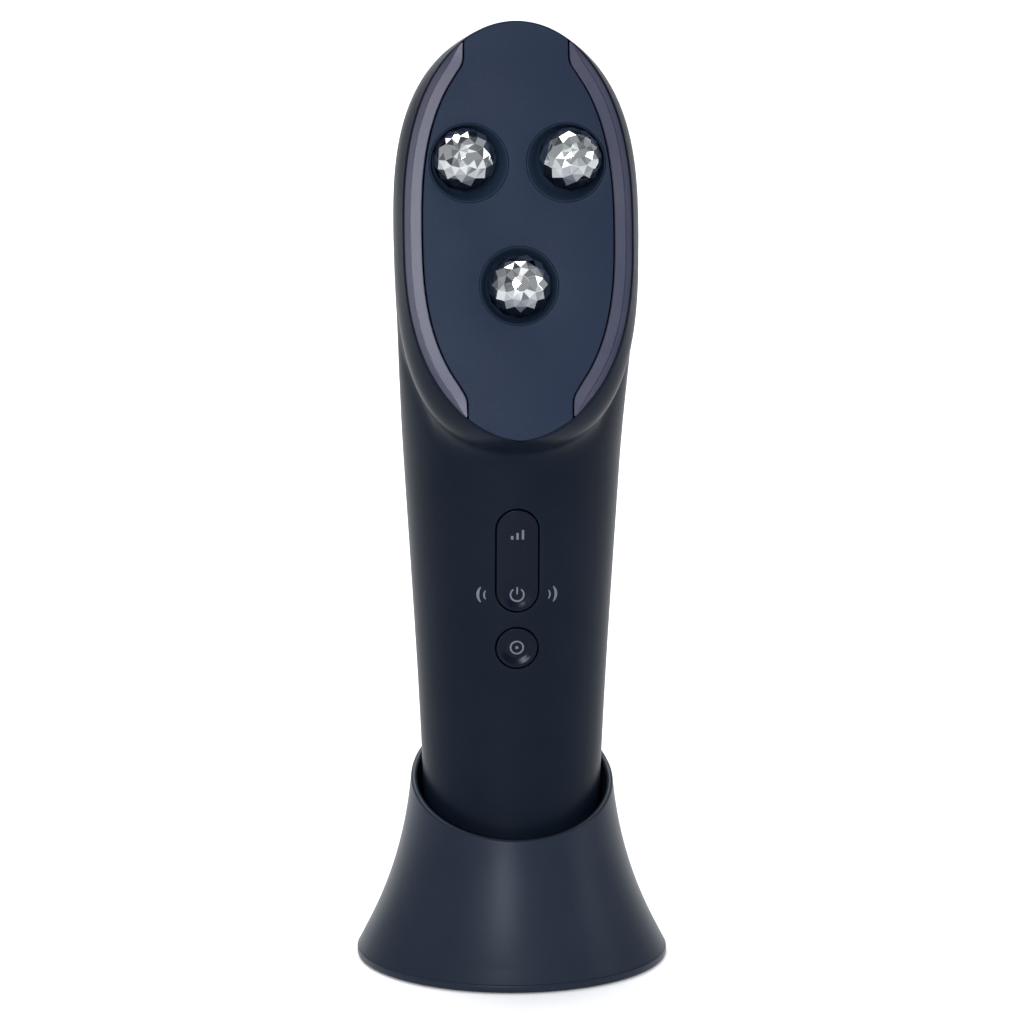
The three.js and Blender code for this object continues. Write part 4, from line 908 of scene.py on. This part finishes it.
def buildHolder():
    h = holder
    skin = Skin()
    columns = []
    for a in np.linspace(0, 2 * math.pi, h["sides"], endpoint=False):
        columns.append(skin.row([(r * math.cos(a), r * math.sin(a), z) for r, z in holderProfile(a)]))
    for low, high in zip(columns, columns[1:] + columns[:1]):
        skin.strip(low, high, closed=True)
    skin.piece("holderWall", "holder", "holder", holderSatin, ["holder_shell"], sharp=60)
    foot = Skin()
    turns = np.linspace(0, 2 * math.pi, h["footSides"], endpoint=False)
    edge = [(h["footRadius"] - inset, z) for inset, z in h["footEdge"]]
    rows = [foot.row([(r * math.cos(a), r * math.sin(a), z) for a in turns]) for r, z in edge]
    foot.rows(rows, closed=True)
    foot.cap(rows[0])
    foot.cap(rows[-1])
    foot.piece("rubberFoot", "holder", "rubber", rubber, ["foot_pad"], sharp=60)


buildHolder()
print("holder ready")


finishOf = {
    "case": caseSatin, "face": faceSatin, "key": keySatin, "collar": collarSatin, "tip": chrome,
    "light": lens, "holder": holderSatin, "inner_plastic": moulding, "rubber": rubber, "board": board,
    "steel": steel, "brass": brass, "cell": sleeve,
}
for part in frame["record"]["subparts"]:
    mesh = nodes[part["node"]].data
    mesh.materials.clear()
    mesh.materials.append(finishOf[part["material_slot"]])
print("nodes painted")


sweep = {
    "wide": 4000, "front": -4000, "back": 2300, "tall": 3200, "turn": 900, "turnFrom": 0.08, "turnSteps": 16,
}


def floorSweep():
    # a pale floor that curves up into a wall
    skin = Skin()
    wide, back, turn = sweep["wide"], sweep["back"], sweep["turn"]
    line = [(sweep["front"], 0), (back - turn, 0)]
    for a in np.linspace(sweep["turnFrom"], math.pi / 2, sweep["turnSteps"]):
        line.append((back - turn + turn * math.sin(a), turn - turn * math.cos(a)))
    line.append((back, sweep["tall"]))
    skin.rows([skin.row([(-wide, y, z), (wide, y, z)]) for y, z in line])
    mesh = bpy.data.meshes.new("floorSweep")
    mesh.from_pydata([[c * mm for c in p] for p in skin.points], [], skin.faces)
    mesh.shade_smooth()
    glow = {"Emission_Color": (1, 1, 1, 1), "Emission_Strength": 0.08}
    pale = mottledPaint("paleFloor", mottled["floor"], "#f1f2f3", "#f6f7f8", Specular_IOR_Level=0.2, **glow)
    mesh.materials.append(pale)
    made = bpy.data.objects.new("floorSweep", mesh)
    bpy.context.scene.collection.objects.link(made)


floorSweep()

# places, aims and sizes of the studio are in metres
lamps = {
    "overheadBox": {"at": (-0.1, 0.35, 0.8), "aim": (-0.05, 0.25, 0), "size": (0.8, 0.6), "power": 6},
    "backdropBox": {"at": (0.0, 1.25, 1.3), "aim": (0, 1.5, 0), "size": (1.8, 0.9), "power": 21},
    "frontBox": {"at": (-0.22, -1.1, 0.4), "aim": (0, 0, 0.02), "size": (0.25, 0.45), "power": 9},
    "fillBox": {"at": (0.25, -1.15, 1.35), "aim": (0, 0, 0.15), "size": (1.9, 1.0), "power": 4.5},
    "leftBox": {"at": (-0.65, -0.95, 0.45), "aim": (0, 0, 0.15), "size": (0.25, 0.5), "power": 1.0},
    "rightBox": {"at": (1.05, -0.3, 0.3), "aim": (0, 0, 0.15), "size": (0.35, 0.5), "power": 1.8},
}
for name, spec in lamps.items():
    data = bpy.data.lights.new(name, "AREA")
    data.shape, data.size, data.size_y, data.energy = "RECTANGLE", *spec["size"], spec["power"]
    lamp = bpy.data.objects.new(name, data)
    bpy.context.scene.collection.objects.link(lamp)
    lamp.location = spec["at"]
    lamp.rotation_euler = (Vector(spec["aim"]) - Vector(spec["at"])).to_track_quat("-Z", "Y").to_euler()

studioSky = {"colour": (0.9, 0.93, 1.0, 1), "strength": 0.4}
world = bpy.data.worlds.new("softStudio")
bpy.context.scene.world = world
world.use_nodes = True
sky = world.node_tree.nodes["Background"]
sky.inputs["Color"].default_value = studioSky["colour"]
sky.inputs["Strength"].default_value = studioSky["strength"]

view = {
    "distance": 1.0, "height": 0.287, "azimuth": -3.5, "pitch": 10.73, "lens": 163.6, "sensor": 36,
    "right": 0.00106,
}
bearing = math.radians(view["azimuth"])
cameraData = bpy.data.cameras.new("studioCamera")
cameraData.lens, cameraData.sensor_width = view["lens"], view["sensor"]
camera = bpy.data.objects.new("studioCamera", cameraData)
bpy.context.scene.collection.objects.link(camera)
across = Vector((math.cos(bearing), math.sin(bearing), 0)) * view["right"]
camera.location = Vector((math.sin(bearing), -math.cos(bearing), 0)) * view["distance"] + across
camera.location.z = view["height"]
camera.rotation_euler = (math.radians(90 - view["pitch"]), 0, bearing)
bpy.context.scene.camera = camera
bpy.context.scene.view_settings.view_transform = "Standard"
print("studio ready")
